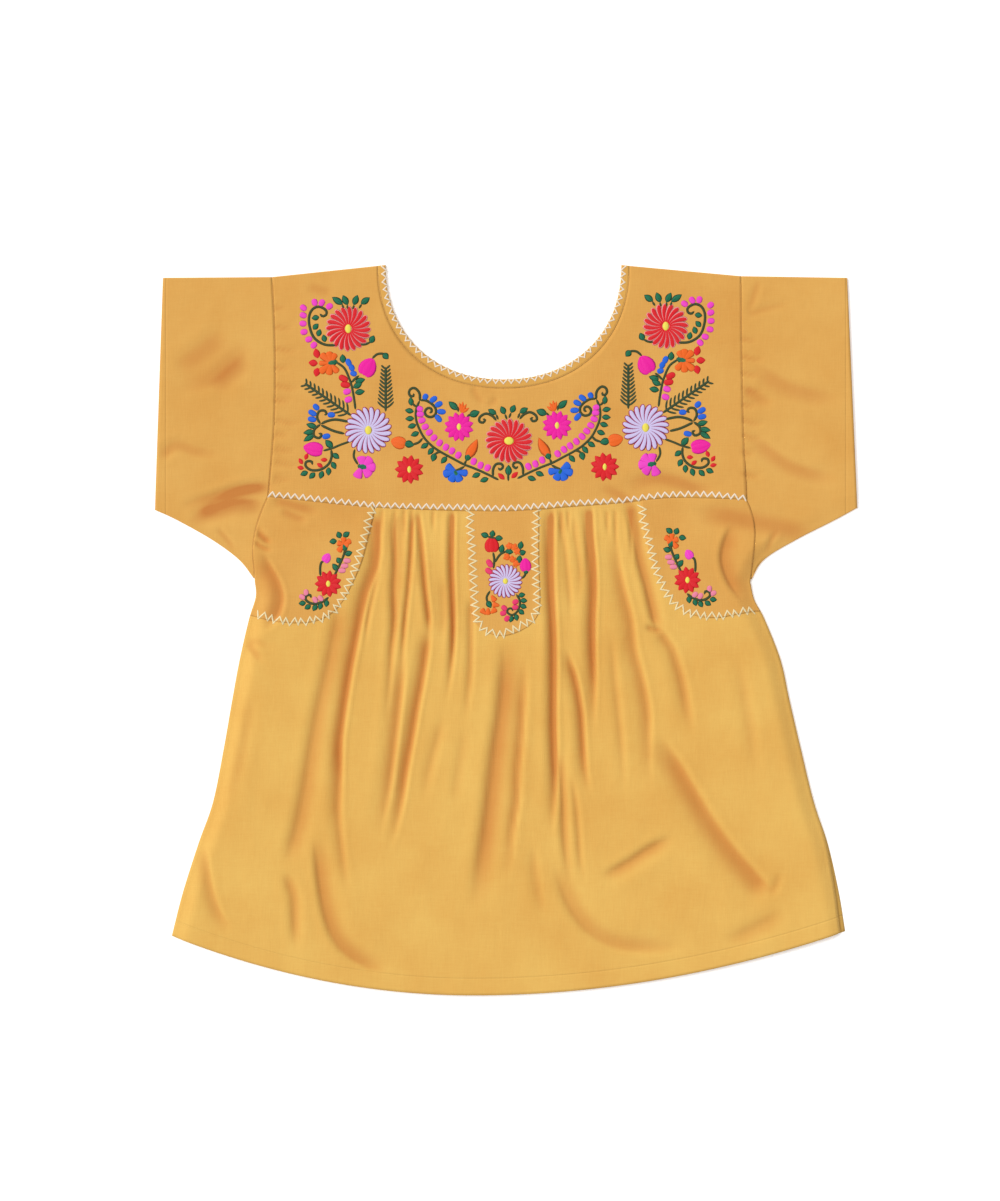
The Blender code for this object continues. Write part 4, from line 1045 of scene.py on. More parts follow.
def cloth_height(x, y):
    """The height of the topmost cloth at a point in plan, in millimetres."""
    start = Vector((x * MM, y * MM, 0.1))
    hits = [tree.ray_cast(start, Vector((0, 0, -1)))[0] for tree in CARRIERS]
    tops = [hit.z / MM for hit in hits if hit is not None]
    return max(tops) if tops else FRONT_MID


def as_drawn(px, py):
    """A pixel of the photograph, in plan."""
    return (px - CLOTH_X) * PIXEL, (CLOTH_Y - py) * PIXEL


def mirrored(middle, shift):
    """The same for a motif that is repeated on the right, about a middle line and moved down by shift."""
    return lambda px, py: as_drawn(2 * middle - px, py + shift)


def strand(put, colour, spine, half, height):
    """One closed pillow of stitches along a line, half as wide as given at each of its points."""
    if colour not in STITCHES:
        STITCHES[colour] = bmesh.new()
        STITCHES[colour].verts.layers.float_vector.new("stitch_mm")
    shape = STITCHES[colour]
    stitch = shape.verts.layers.float_vector["stitch_mm"]
    spine, half = np.asarray(spine, float), np.asarray(half, float)
    ahead = np.gradient(spine, axis=0)
    ahead /= np.linalg.norm(ahead, axis=1, keepdims=True)
    aside = np.column_stack([-ahead[:, 1], ahead[:, 0]])
    run = np.concatenate([[0], np.cumsum(np.linalg.norm(np.diff(spine, axis=0), axis=1))]) * PIXEL
    full = np.sqrt(half / half.max())
    around = len(ACROSS)
    made = bmesh.ops.create_grid(shape, x_segments=around, y_segments=len(spine) - 1, size=1.0)["verts"]
    corners = iter(made)
    for middle, side, width, share, along in zip(spine, aside, half, full, run):
        for k in range(around + 1):
            v = ACROSS[k % around]
            x, y = put(*(middle + side * width * v))
            vert = next(corners)
            lift = (height * RISE[k % around] - FOOT[k % around]) * share
            vert.co = (x * MM, y * MM, (cloth_height(x, y) + lift) * MM)
            vert[stitch] = (along, width * v * PIXEL, 0.0)
    bmesh.ops.remove_doubles(shape, verts=made, dist=1e-7)


def pointed(t):
    """Half the width of a leaf along its length: pointed at both ends."""
    return np.sin(math.pi * t**0.9) ** 0.85


def rounded(t):
    """A petal: narrow at its foot, with a round tip."""
    grow = 0.30 + 0.70 * np.minimum(t / 0.78, 1) ** 0.9
    tip = np.sqrt(np.clip(1 - (np.maximum(t - 0.78, 0) / 0.22) ** 2, 0, 1))
    return grow * tip * (t > 0)


def plump(t):
    """A small blob of satin stitch, nearly as wide at its ends as in its middle."""
    return np.sqrt(np.clip(1 - np.abs(2 * t - 1) ** 2.8, 0, 1))


def starry(t):
    """A petal with a broad foot and a pointed tip."""
    tip = np.cos(math.pi / 2 * np.clip((t - 0.45) / 0.55, 0, 1)) ** 0.8
    return np.where(t < 0.45, 0.75 + 0.25 * t / 0.45, tip) * (t > 0)


def drop(t):
    """A bud: round at its foot, pointed at its tip."""
    foot = np.sqrt(np.clip(1 - ((0.38 - t) / 0.38) ** 2, 0, 1))
    return np.where(t < 0.38, foot, np.cos(math.pi / 2 * np.clip((t - 0.38) / 0.62, 0, 1)) ** 0.9)


def disc(t):
    """A circle."""
    return np.sqrt(np.clip(1 - (2 * t - 1) ** 2, 0, 1))


def petal(put, colour, foot, tip, width, form=pointed, bend=0.0, rim=None, height=STITCH_HEIGHT):
    """A filled shape from its foot to its tip, with a rim of another colour under it if one is given."""
    foot, tip = np.array(foot, float), np.array(tip, float)
    axis = tip - foot
    t = 0.5 - 0.5 * np.cos(np.linspace(0, math.pi, PETAL_STEPS + 1))
    if rim:
        rim_colour, margin = rim
        more = margin * axis / np.linalg.norm(axis)
        petal(put, rim_colour, foot - more, tip + more, width + 2 * margin, form, bend, None,
              height * RIM_SHARE)
    spine = foot + t[:, None] * axis + (bend * 4 * t * (1 - t))[:, None] * (-axis[1], axis[0])
    half = width / 2 * form(t)
    half[[0, -1]] = 0.0
    strand(put, colour, spine, half, height)


def petals(put, colour, pairs, width, form=pointed):
    """Filled shapes of one colour and width, each from its foot to its tip."""
    for foot, tip in pairs:
        petal(put, colour, foot, tip, width, form)


def blossom(put, colour, foot, tips):
    """Round petals that share one foot, each with its tip and its width."""
    for tip, width in tips:
        petal(put, colour, foot, tip, width, rounded)


def vine(put, points, width=2.7, colour="stem_brown"):
    """A line of stem stitches through the points."""
    length = sum(math.dist(a, b) for a, b in zip(points, points[1:]))
    line = smooth_path(points, max(4, round(length / 1.6)))
    half = np.full(len(line), width / 2)
    half[[0, -1]] = 0.0
    half[[1, -2]] *= 0.8
    strand(put, colour, line, half, VINE_HEIGHT)
    return line


LEAF_RIM = ("leaf_edge", 0.45)
LEAF_FULLNESS = 1.15
DAISY_PETAL, STAR_PETAL = 0.224, 0.50  # width of a petal as a share of the flower's radius
DAISY_PETALS, DAISY_BEND = 20, 0.10
PETAL_FOOT = 0.14  # where a petal starts, as a share of the radius
BUD_APART, BUD_SIDE, BUD_MIDDLE = 0.16, 0.62, 0.66  # shares of a bud's width
FERN_STEM, LEAFLET_WIDTH = 2.6, 2.1  # pixels


def leaf(put, foot, tip, width=4.4, colour="leaf_green", rim=LEAF_RIM):
    """A green leaf with a dark outline and a vein."""
    petal(put, colour, foot, tip, width * LEAF_FULLNESS, rim=rim)
    foot, tip = np.array(foot, float), np.array(tip, float)
    vein = foot + np.linspace(0, 0.62, 5)[:, None] * (tip - foot)
    strand(put, "leaf_edge", vein, (0.0, 0.3, 0.3, 0.25, 0.0), VEIN_HEIGHT)


def leaves(put, pairs, width):
    """Leaves of one width, each from its foot to its tip."""
    for foot, tip in pairs:
        leaf(put, foot, tip, width)


def sprigs(put, line, centres, length, width, colour="leaf_green", rim=LEAF_RIM, form=pointed, lean=0.7):
    """Leaves or petals along a vine: each stands on the vine's nearest point and leans along it."""
    ahead = np.gradient(line, axis=0)
    for centre in np.array(centres, float):
        nearest = np.argmin(np.linalg.norm(line - centre, axis=1))
        outwards = centre - line[nearest]
        outwards /= np.linalg.norm(outwards)
        way = outwards + lean * ahead[nearest] / np.linalg.norm(ahead[nearest])
        way *= length / 2 / np.linalg.norm(way)
        petal(put, colour, centre - way, centre + way, width, form, rim=rim)


def ring_of_petals(put, centre, radius, count, colour, form, width, rim=None, bend=0.0, turned=0.0, flat=1.0,
                   height=STITCH_HEIGHT):
    """Petals round a centre. Flat is the length of the flower as a share of its width."""
    centre = np.array(centre, float)
    for k in range(count):
        angle = turned + 2 * math.pi * k / count
        out = np.array([math.cos(angle), math.sin(angle) * flat]) * radius
        petal(put, colour, centre + PETAL_FOOT * out, centre + out, width, form, bend, rim, height)


def daisy(put, centre, radius, colour, rim, turned=0.0, flat=1.0, eye=(6.5, 7.5)):
    """The large flower: twenty round petals with outlines, and a yellow eye."""
    width = DAISY_PETAL * radius
    ring_of_petals(put, centre, radius, DAISY_PETALS, colour, rounded, width, rim, DAISY_BEND, turned,
                   flat, FLAT_STITCH)
    knot(put, centre, *eye)


def star(put, centre, radius, colour, count=12, turned=0.0, eye=(4.5, 6.0)):
    """The small flower: pointed petals that overlap, and a yellow eye."""
    ring_of_petals(put, centre, radius, count, colour, starry, STAR_PETAL * radius, None, 0.0,
                   turned)
    knot(put, centre, *eye)


def knot(put, centre, width, height):
    """A raised eye of knots in the middle of a flower."""
    x, y = centre
    petal(put, "yellow", (x, y - height / 2), (x, y + height / 2), width, disc, height=EYE_HEIGHT)


def bud(put, foot, tip, width, colour, rim=None):
    """A closed bud: two outer petals and one between them."""
    foot, tip = np.array(foot, float), np.array(tip, float)
    aside = np.array([-(tip - foot)[1], (tip - foot)[0]]) / np.linalg.norm(tip - foot) * width * BUD_APART
    for way, bend in ((1, 0.10), (-1, -0.10)):
        petal(put, colour, foot + way * aside, tip + way * aside * 0.3, width * BUD_SIDE, drop, bend, rim)
    petal(put, colour, foot, tip, width * BUD_MIDDLE, drop, height=BUD_HEIGHT)


def fern(put, foot, tip, pairs, foot_reach, tip_reach, lean=0.85):
    """A stem with fine leaflets on both sides, shorter towards the tip."""
    foot, tip = np.array(foot, float), np.array(tip, float)
    axis = (tip - foot) / np.linalg.norm(tip - foot)
    aside = np.array([-axis[1], axis[0]])
    vine(put, [tuple(foot), tuple((foot + tip) / 2), tuple(tip)], FERN_STEM, "fern_green")
    for k in range(pairs):
        share = (k + 0.9) / (pairs + 0.4)
        start = foot + (tip - foot) * share  # leaflets stand in pairs
        reach = foot_reach + (tip_reach - foot_reach) * share
        for way in (1, -1):
            end = start + (way * aside + lean * axis) * reach
            petal(put, "fern_green", start, end, LEAFLET_WIDTH, plump, way * 0.06, height=LEAFLET_HEIGHT)


print("cloth found under the middle of the yoke at", round(cloth_height(0, 180), 2), "mm")

# %% [markdown]
# ## Flowers beside the neck
# Two daisies, one red and one lilac, stand on either side of the neck with curls, buds, ferns and leaves
# between them. The right side is the left one turned over, as when a maker flips the paper pattern, so
# it is written once and laid twice.

# %% Flowers beside the neck
PINK_RIM, WINE_RIM = ("pale_pink", 0.55), ("wine", 0.50)


def side_flowers(put):
    """Everything embroidered on one side of the yoke."""
    curl = vine(put, ((337, 345.5), (324.6, 344.7), (314.3, 338), (309.8, 326.6), (309.4, 316.3),
                      (313, 309.3), (319.5, 307), (326, 310.5), (326.4, 314.8), (322.7, 316.5),
                      (319.8, 313.8)))
    sprigs(put, curl, ((315.6, 318), (315.9, 326.8), (319.2, 333), (324.4, 338.6)), 7.0, 5.0)
    outer = ((303.6, 308), (303.4, 315.5), (303.2, 323.8), (304.2, 332.2), (309, 339.6), (314, 345.4),
             (314.8, 302.6), (322, 303), (329.6, 306.6))
    sprigs(put, curl, outer, 7.4, 6.2, "orchid", None, plump, 0.2)
    for foot, tip in (((342.6, 304.4), (332.6, 297.6)), ((347.6, 305), (343.2, 295.8)),
                      ((354, 305), (357.6, 295.6)), ((361.4, 304), (369.6, 298))):
        vine(put, (tuple(np.array(foot) * 0.8 + (69.7, 65.8)), (foot[0], foot[1] + 1), foot), 2.4)
        leaf(put, foot, tip, 5.2)
    vine(put, ((360, 345), (366, 344.4), (371, 342)), 2.4)
    leaf(put, (370.6, 343), (374, 336), 5.0)
    daisy(put, (348.4, 329), 22.4, "red", PINK_RIM, eye=(7.0, 9.0))

    blossom(put, "orange", (331, 363.4), (((321, 354), 8.0), ((329, 351.6), 8.0), ((335.6, 353.5), 7.0),
                                          ((319, 363.4), 5.5), ((320, 373), 8.0), ((329, 375.4), 8.0),
                                          ((338, 373), 7.0)))
    petals(put, "red", (((318, 358.5), (315.6, 348.6)), ((318, 363.6), (308.6, 362.8)),
                        ((318, 368), (316, 377))), 7.2)
    branch = vine(put, ((336, 362), (344.5, 368.5), (349.5, 379), (352, 387), (354.4, 400), (355.6, 410)),
                  2.4)
    leaf(put, (337.5, 361.6), (326.4, 364), 6.0)
    leaf(put, (343.4, 363), (342.6, 354.8), 5.2)
    petals(put, "blue", (((350.5, 366.4), (347, 359)), ((353.6, 371), (350, 364.6)),
                         ((357, 375), (350.4, 372.4))), 5.8, plump)
    petals(put, "red", (((348, 381), (339, 376.4)), ((350.4, 385.6), (340.6, 384.4))), 6.6, plump)
    sprigs(put, branch, ((347.2, 391.8), (348.6, 399.8)), 8.0, 6.4, "orchid", None, plump, 0.2)
    vine(put, ((351.5, 383), (354.8, 379.4), (359.5, 375.6)), 2.5)
    leaves(put, (((355.6, 382), (365, 379.6)), ((353.6, 387.6), (362, 383.6)),
                 ((355.4, 393), (364.6, 391.4))), 4.8)
    vine(put, ((372, 359), (377.5, 354.4), (385, 353.8)), 2.5)
    leaf(put, (383.4, 353.6), (388.2, 359), 5.2)
    bud(put, (363.4, 375.4), (373.4, 358.8), 17.0, "magenta")

    fern(put, (385.8, 412), (385.8, 367), 11, 8.6, 4.2)
    fern(put, (351.5, 415.8), (304.6, 383.4), 11, 8.4, 4.6)
    vine(put, ((349, 422), (336.2, 419.8), (327, 421.4), (320.8, 424.4)))
    vine(put, ((345, 434), (333.6, 431), (320.8, 425.2)))
    upper = vine(put, ((320.8, 424.4), (317.4, 418), (319.2, 411.7), (324.6, 410.8), (326.8, 414.2),
                       (324, 415.2)))
    lower = vine(put, ((320.8, 424.4), (314.6, 429.7), (314.2, 436), (319.3, 438.2), (321.8, 434.6),
                       (318.4, 433.4)))
    petals(put, "blue", (((319, 410), (313.6, 404.6)), ((316.6, 415.4), (308.6, 411)),
                         ((316.6, 420.4), (307.8, 418.6)), ((327.6, 415), (335.4, 415)),
                         ((322.4, 437.4), (330.6, 435.6))), 5.8, plump)
    leaves(put, (((316.8, 427.4), (306.8, 424.4)), ((314.4, 431.6), (303.8, 433.2)),
                 ((314.4, 434.8), (304, 441.2))), 4.6)

    vine(put, ((350, 441.6), (340.5, 445), (332.4, 448.4), (323, 451)), 2.3)
    bud(put, (323, 451), (303.4, 447), 13.0, "magenta")
    leaf(put, (332.6, 447.8), (325.8, 440.4), 5.4)
    ring = vine(put, ((331.4, 449.4), (331.8, 457), (328.5, 464.5), (320.8, 469.7), (311.7, 470.3),
                      (306, 466.4), (306.6, 461.9), (311.7, 461.6), (312.6, 465.3)))
    sprigs(put, ring, ((336.2, 456.2), (334, 465.6), (328.8, 471.6), (321.6, 475), (312.4, 475.8),
                       (304.4, 473.6)), 7.6, 5.0)
    sprigs(put, ring, ((306.6, 456.6), (301, 461.4), (300.8, 467.9), (324.2, 460), (320, 465.4)), 7.0, 4.4,
           "red", None)

    petals(put, "orchid", (((362, 466), (362, 456)), ((363, 466), (372, 458.4)), ((364, 467), (376, 467.6)),
                           ((363, 468), (370.6, 476.4)), ((361, 468), (357, 478.4))), 10.5, rounded)
    vine(put, ((355, 449), (354, 457), (358.2, 465)), 2.4)
    leaf(put, (358, 466), (368.6, 468), 6.4)
    bud(put, (405.4, 444.6), (391, 440.6), 12.0, "orange")
    leaf(put, (404.6, 443.2), (414, 445.4), 6.0)
    vine(put, ((412.4, 444.8), (418.7, 442.6), (423, 438)), 2.5)
    daisy(put, (368.5, 430.4), 23.2, "lilac", WINE_RIM, 0.1, eye=(7.5, 9.0))
    star(put, (409.4, 469.6), 14.6, "red", 11, 0.3, eye=(4.6, 7.0))


LEFT_SIDE = as_drawn
RIGHT_SIDE = mirrored(507.0, -2.6)
for put in (LEFT_SIDE, RIGHT_SIDE):
    side_flowers(put)
print(sum(len(shape.faces) for shape in STITCHES.values()), "faces of thread so far")

# %% [markdown]
# ## The garland under the neck
# Two vines meet under a red daisy in the middle. Leaves stand on the outer side of each vine and a row
# of pink stitches follows its inner side.

# %% Garland
def garland_half(put):
    """The left half of the garland."""
    main = vine(put, ((419.8, 400.6), (416.9, 407.5), (415.8, 414), (416.5, 421.4), (419.8, 430),
                      (424.9, 438.8), (432.9, 446.8), (441.6, 452.6), (452.5, 458.5), (463.5, 464.3),
                      (474.4, 468.6), (485.3, 473.4), (499, 480.2)), 2.4)
    vine(put, ((419.8, 401.4), (419.8, 394.5), (417.2, 390), (413.6, 388.1), (410, 390), (409.1, 393.7),
               (411, 396.5), (413.8, 395.9), (413.4, 393.2)))
    vine(put, ((419.8, 400.6), (424.9, 400.4), (430.7, 403.2), (435.5, 408.3), (435.7, 414), (431.5, 417.2),
               (426.5, 415.9), (425, 411.7), (427.8, 408.3), (431.4, 409), (431.5, 412.3), (428.9, 413)))
    petals(put, "blue", (((424, 400), (427, 394)), ((430, 402.2), (437, 397)),
                         ((435, 406.4), (442.6, 402.6)), ((437, 411.6), (446, 412.2)),
                         ((435.4, 415), (441.4, 422))), 5.8, plump)
    vine(put, ((417, 407.4), (413.4, 404.6), (411.6, 401.6)), 2.4)
    leaf(put, (411.6, 405.6), (410.6, 397.6), 4.2)
    sprigs(put, main, ((409.4, 411), (409.8, 418.8), (412, 426.2), (415, 434.2), (424.6, 446),
                       (430.8, 451.4), (444, 460.2)), 8.2, 4.8, lean=-0.15)
    vine(put, ((443, 452.8), (438.7, 452.3), (434, 455)), 2.4)
    leaf(put, (435, 453.6), (432.6, 461.4), 5.0)
    sprigs(put, main, ((476.2, 475.4), (484.2, 480)), 8.4, 4.8, lean=-0.9)
    dots = ((419.6, 409), (420.4, 414.4), (422, 420.6), (425.3, 427), (429.4, 432.6), (434, 438),
            (439.7, 443), (446, 447.4), (452, 451), (458.4, 455.3), (473.8, 461.6), (480.6, 465.4),
            (487.6, 468))
    sprigs(put, main, dots, 7.6, 6.2, "orchid", None, plump, 0.0)
    vine(put, ((458.4, 412.4), (457.8, 408.4), (456, 405.6)), 2.4)
    leaf(put, (457.8, 409.8), (449, 402), 5.4)
    for tip in ((459.6, 402.8), (463, 401.6), (466.6, 404), (469.4, 408)):
        petal(put, "orange", (461.5, 413), tip, 3.4, pointed)
    vine(put, ((466.4, 418), (469, 415.4), (472, 414)), 2.4)
    leaf(put, (469.6, 415.6), (479.4, 412), 6.0)
    star(put, (459, 427), 15.0, "magenta", 12, 0.26, eye=(5.0, 7.0))
    vine(put, ((496.6, 421), (492.5, 416.3), (486, 413.8), (480.2, 417), (479.3, 421.4), (483, 422.8),
               (485.1, 420), (482.4, 419)))
    for foot, tip in (((496, 414.2), (488.4, 409.8)), ((504.8, 414), (501.2, 406.8))):
        vine(put, ((foot[0] + 2.4, foot[1] + 6), (foot[0] + 1.2, foot[1] + 3), foot), 2.4)
        leaf(put, foot, tip, 4.8)
    petal(put, "orange", (467, 457), (477, 439.6), 9.0, drop, 0.05, ("rust", 0.7))
    vine(put, ((465, 467), (465, 463.4), (466.6, 460)), 2.5)
    leaf(put, (466.4, 460.8), (470, 452.6), 5.0)
    blossom(put, "blue", (455.6, 471.6), (((446, 465.6), 8.6), ((443, 474.6), 9.0), ((450.4, 482), 9.0),
                                          ((460.4, 482), 9.0), ((468, 473.6), 8.0)))
    vine(put, ((454.4, 471), (459.4, 469.4), (465, 466.4)), 2.5)
    leaf(put, (454, 470.2), (458, 477), 4.4)
    vine(put, ((493, 477), (493.2, 469.4), (496.2, 464.3), (501.3, 464.1), (503, 467.2), (500, 469.8),
               (497.8, 467.5)))
    petal(put, "red", (504.6, 479.6), (498, 473.4), 5.0)


LEFT_HALF = as_drawn
RIGHT_HALF = mirrored(508.0, -1.4)
for put in (LEFT_HALF, RIGHT_HALF):
    garland_half(put)
vine(LEFT_HALF, ((508.4, 481.6), (508.2, 477), (508.4, 472)), 2.3)
leaf(LEFT_HALF, (508.4, 475.6), (508.6, 465.4), 5.4)
daisy(LEFT_HALF, (509, 441), 23.4, "red", PINK_RIM, 0.0, 0.94, eye=(11.0, 8.0))
print(sum(len(shape.faces) for shape in STITCHES.values()), "faces of thread so far")

# %% [markdown]
# ## The patches' flowers
# The middle patch has its own small bunch round a lilac daisy. The two side patches share one, laid
# twice like the flowers beside the neck.

# %% Flowers on the patches
def side_patch_flowers(put):
    """The bunch on the left patch."""
    stalk = vine(put, ((334.6, 576), (339, 567), (342, 560.4), (344.4, 554), (345.6, 547.6)), 2.4)
    blossom(put, "orange", (343.8, 544.4), (((337.4, 543), 6.5), ((338.6, 552), 6.5), ((344, 537.4), 6.0),
                                            ((351.4, 540.6), 6.5), ((349, 545.6), 6.0)))
    leaves(put, (((336.8, 541), (330, 542)), ((340.6, 538), (338, 532)), ((343.6, 536.6), (349.6, 532.4)),
                 ((346.6, 551), (342.8, 544)), ((345.4, 554.6), (352.4, 552.4)), ((341, 563), (337.4, 558)),
                 ((338.4, 570.6), (333, 564))), 4.6)
    sprigs(put, stalk, ((347.4, 560.8), (345, 566), (342.4, 570.6)), 7.6, 5.4, "soft_pink", None, plump, 0.4)
    vine(put, ((320.8, 576.4), (320.6, 568), (321.8, 562.6), (325, 561)), 2.5)
    bud(put, (324.6, 562.4), (329.6, 553.6), 8.4, "orchid")
    star(put, (328.6, 583.8), 13.6, "red", 11, 0.28, eye=(5.2, 6.6))
    curl = vine(put, ((329.4, 597), (324, 601.2), (317.4, 603.6), (311, 603.2), (306.2, 599.6),
                      (307, 595.6), (310.8, 595.2), (311.6, 598.4)))
    sprigs(put, curl, ((327, 603.4), (320.8, 606.2), (315.3, 607.8), (308.2, 607), (302.8, 603.2)), 6.6, 4.8)
    sprigs(put, curl, ((321, 598.4), (315.6, 599.8), (306.6, 592.6), (302.8, 597)), 6.8, 5.4, "soft_pink",
           None, plump, 0.3)


def middle_patch_flowers(put):
    """The bunch on the middle patch."""
    vine(put, ((493, 552), (494.3, 560), (493.4, 569)), 2.4)
    vine(put, ((494.6, 563), (500, 554.8), (507, 551)), 2.4)
    leaves(put, (((488.4, 536.4), (481.2, 534)), ((492, 537), (493, 530.6)),
                 ((495.6, 538.2), (502.6, 538.4))), 4.6)
    vine(put, ((487, 536), (491.6, 538), (496.4, 538)), 2.3)
    for k, (x, y) in enumerate(((509, 546), (514.6, 547), (517.6, 552), (506.4, 557), (512.6, 559),
                                (516.4, 564))):
        way = np.array([math.cos(k * 1.9), math.sin(k * 1.9)]) * 3.6
        petal(put, "orange", (x, y) - way, (x, y) + way, 6.0, rounded)
        petal(put, "orange", (x + way[1], y - way[0]), (x - way[1], y + way[0]), 4.6, rounded)
    for k, (x, y) in enumerate(((493.4, 598.4), (496, 605), (493.6, 611), (488, 611.4), (483.6, 611.8))):
        way = np.array([math.cos(k * 2.3 + 1), math.sin(k * 2.3 + 1)]) * 3.6
        petal(put, "orange", (x, y) - way, (x, y) + way, 6.2, rounded)
    bud(put, (492, 552.4), (491.6, 536.8), 14.0, "red")
    leaves(put, (((500.8, 552.8), (502.6, 544.8)), ((505.6, 551), (513, 552.4)),
                 ((520, 549), (521.4, 541.6)), ((519.4, 553.6), (525.6, 551.8)),
                 ((518.6, 563), (520, 555.6)), ((487.2, 601), (491, 607.6))), 4.6)
    vine(put, ((518.6, 554), (520, 551), (520.4, 548)), 2.2)
    petals(put, "rose", (((492.4, 567.4), (487, 559.6)), ((492, 573.6), (485.6, 568.6))), 5.8, plump)
    vine(put, ((521.4, 579), (524.9, 575.2), (526.2, 570)), 2.4)
    bud(put, (525.8, 571.6), (525, 558), 11.0, "magenta")
    leaf(put, (525.4, 574.6), (526.6, 568), 3.6)
    vine(put, ((490.4, 590.4), (486.8, 597), (487.6, 603)), 2.4)
    curl = vine(put, ((516, 594), (519.6, 600), (519.6, 606), (516.8, 612), (512, 615), (507.6, 612.7),
                      (508, 609.1), (511.7, 608.5), (512.9, 611.5)), 2.3)
    sprigs(put, curl, ((521.8, 595), (523.8, 600.6), (523.4, 606.4), (521.4, 612), (516.4, 617.4),
                       (511.2, 619)), 6.4, 4.6, lean=0.2)
    sprigs(put, curl, ((515.4, 602), (515.2, 607.4), (504.2, 608), (503.2, 613.2), (507, 618.6)), 6.6, 5.4,
           "rose", None, plump, 0.2)
    daisy(put, (505.4, 581.2), 16.6, "lilac", WINE_RIM, 0.05, eye=(5.6, 6.0))


RIGHT_PATCH_PLACE = mirrored(507.8, -3.7)
for put in (as_drawn, RIGHT_PATCH_PLACE):
    side_patch_flowers(put)
middle_patch_flowers(as_drawn)
print(sum(len(shape.faces) for shape in STITCHES.values()), "faces of thread so far")

# %% [markdown]
# ## Zigzag stitches
# A zigzag hides every raw edge: along the yoke, round the patches and over the neck band. Each leg of
# the zigzag is one thread that goes into the cloth at both ends, so it is one small strand. Hand-guided
# rows are never quite even, so the legs differ a little in height, by a sine that doesn't repeat.

# %% Zigzags
ZigzagRow = namedtuple("ZigzagRow", "colour reach step width unrest")
YOKE_ROW = ZigzagRow("white_thread", 2.7, 3.85, 1.9, 0.12)
PATCH_ROW = ZigzagRow("cream_thread", 3.7, 3.9, 1.8, 0.24)
NECK_ROW = ZigzagRow("white_thread", 2.3, 3.9, 1.7, 0.12)
SEAM_STITCH = 1.0  # width of the stitching along a seam, in millimetres
BESIDE_SEAM = 0.17  # from the middle of the seam to the middle of its stitching
NECK_ROW_INSET = 1.5  # mm from the edge of the neck to the middle of its zigzag
PICOT = 1.9  # width of the small knots on the neck's edge, in pixels
LEG_OVERLAP = 0.12  # how far a leg runs past its corners, as a share of its length
REACH_WAVES, DRIFT_WAVE = (2.4, 0.83), 1.7  # how fast the unrest of the hand changes, per leg


def zigzag(put, points, row):
    """A zigzag along a line: legs from one side to the other, a step apart."""
    length = sum(math.dist(a, b) for a, b in zip(points, points[1:]))
    line = smooth_path(points, 2 * round(length / row.step / 2))
    ahead = np.gradient(line, axis=0)
    ahead /= np.linalg.norm(ahead, axis=1, keepdims=True)
    aside = np.column_stack([-ahead[:, 1], ahead[:, 0]])
    turns = np.arange(len(line))
    unrest = row.unrest * np.sin(turns * REACH_WAVES[0]) * np.sin(turns * REACH_WAVES[1] + 1)
    reach = row.reach * (1 + unrest)
    drift = row.unrest * row.step * np.sin(turns * DRIFT_WAVE)
    corners = line + aside * (reach * (-1.0) ** turns)[:, None] + ahead * drift[:, None]
    for start, end in zip(corners, corners[1:]):
        over = LEG_OVERLAP * (end - start)
        petal(put, row.colour, start - over, end + over, row.width, plump, height=LEG_HEIGHT)
    return corners


YOKE_ZIGZAG = ((268.5, 493), (300, 495.6), (340, 500), (375, 503.5), (430, 505.4), (470, 506), (504, 507),
               (540, 504.6), (570, 502), (620, 499), (650, 495), (671, 493), (709, 493), (746, 497))
LEFT_ZIGZAG = ((374, 507), (371.6, 512), (368.6, 520.8), (367.2, 531), (363.5, 541), (361.4, 551),
               (357.3, 561.6), (355, 571.8), (350.5, 582), (346.6, 592), (341, 602), (334.6, 611),
               (326.7, 616.7), (316.5, 619.8), (301, 621.8), (281, 620.4), (268.6, 617.2), (257, 613.6))
RIGHT_ZIGZAG = ((641.4, 505), (643, 520.6), (648.6, 541), (653.7, 561.4), (658.8, 576.7), (665, 590),
                (673, 602), (685.3, 611), (698.6, 614.5), (717, 616), (737.3, 612.6), (754, 610))
MIDDLE_ZIGZAG = ((469.4, 510), (470.4, 531), (473, 561), (474.6, 592), (477.5, 619.6), (487.8, 631.4),
                 (502, 633.9), (515, 628.4), (525.5, 623.7), (533.7, 618), (537.4, 606), (536.7, 582),
                 (535.7, 551), (536.7, 520), (537, 510))
YOKE_ZIGZAG_LOWERED = [(x, y + 1.4) for x, y in YOKE_ZIGZAG]  # onto the edge of the yoke
zigzag(as_drawn, YOKE_ZIGZAG_LOWERED, YOKE_ROW)
neck = neck_line(NECK_ROW_INSET, 40)
neck_pixels = [(x / PIXEL + CLOTH_X, CLOTH_Y - y / PIXEL) for x, y in neck]
corners = zigzag(as_drawn, neck_pixels, NECK_ROW)
for x, y in corners[::2]:
    petal(as_drawn, "white_thread", (x, y - PICOT / 2), (x, y + PICOT / 2), PICOT, disc)
for points in (LEFT_ZIGZAG, RIGHT_ZIGZAG, MIDDLE_ZIGZAG):
    zigzag(as_drawn, points, PATCH_ROW)


def in_plan(x, y):
    """A place that is already in plan."""
    return x, y


def seam_stitching(line, colour="seam_thread"):
    """Cotton thread along a seam."""
    half = np.full(len(line), SEAM_STITCH / 2)
    half[[0, -1]] = 0.0
    strand(in_plan, colour, line, half, SEAM_HEIGHT)


for side in ("left", "right"):
    yoke_part, armhole = sleeve_seam(side, -BESIDE_SEAM, 80, 40)
    seam_stitching(yoke_part[2:-1])
    seam_stitching(armhole[1:-3])
seam_stitching(neck_line(NECK_BAND - BESIDE_SEAM, 160)[3:-3], "band_thread")
print(sum(len(shape.faces) for shape in STITCHES.values()), "faces of thread in all")

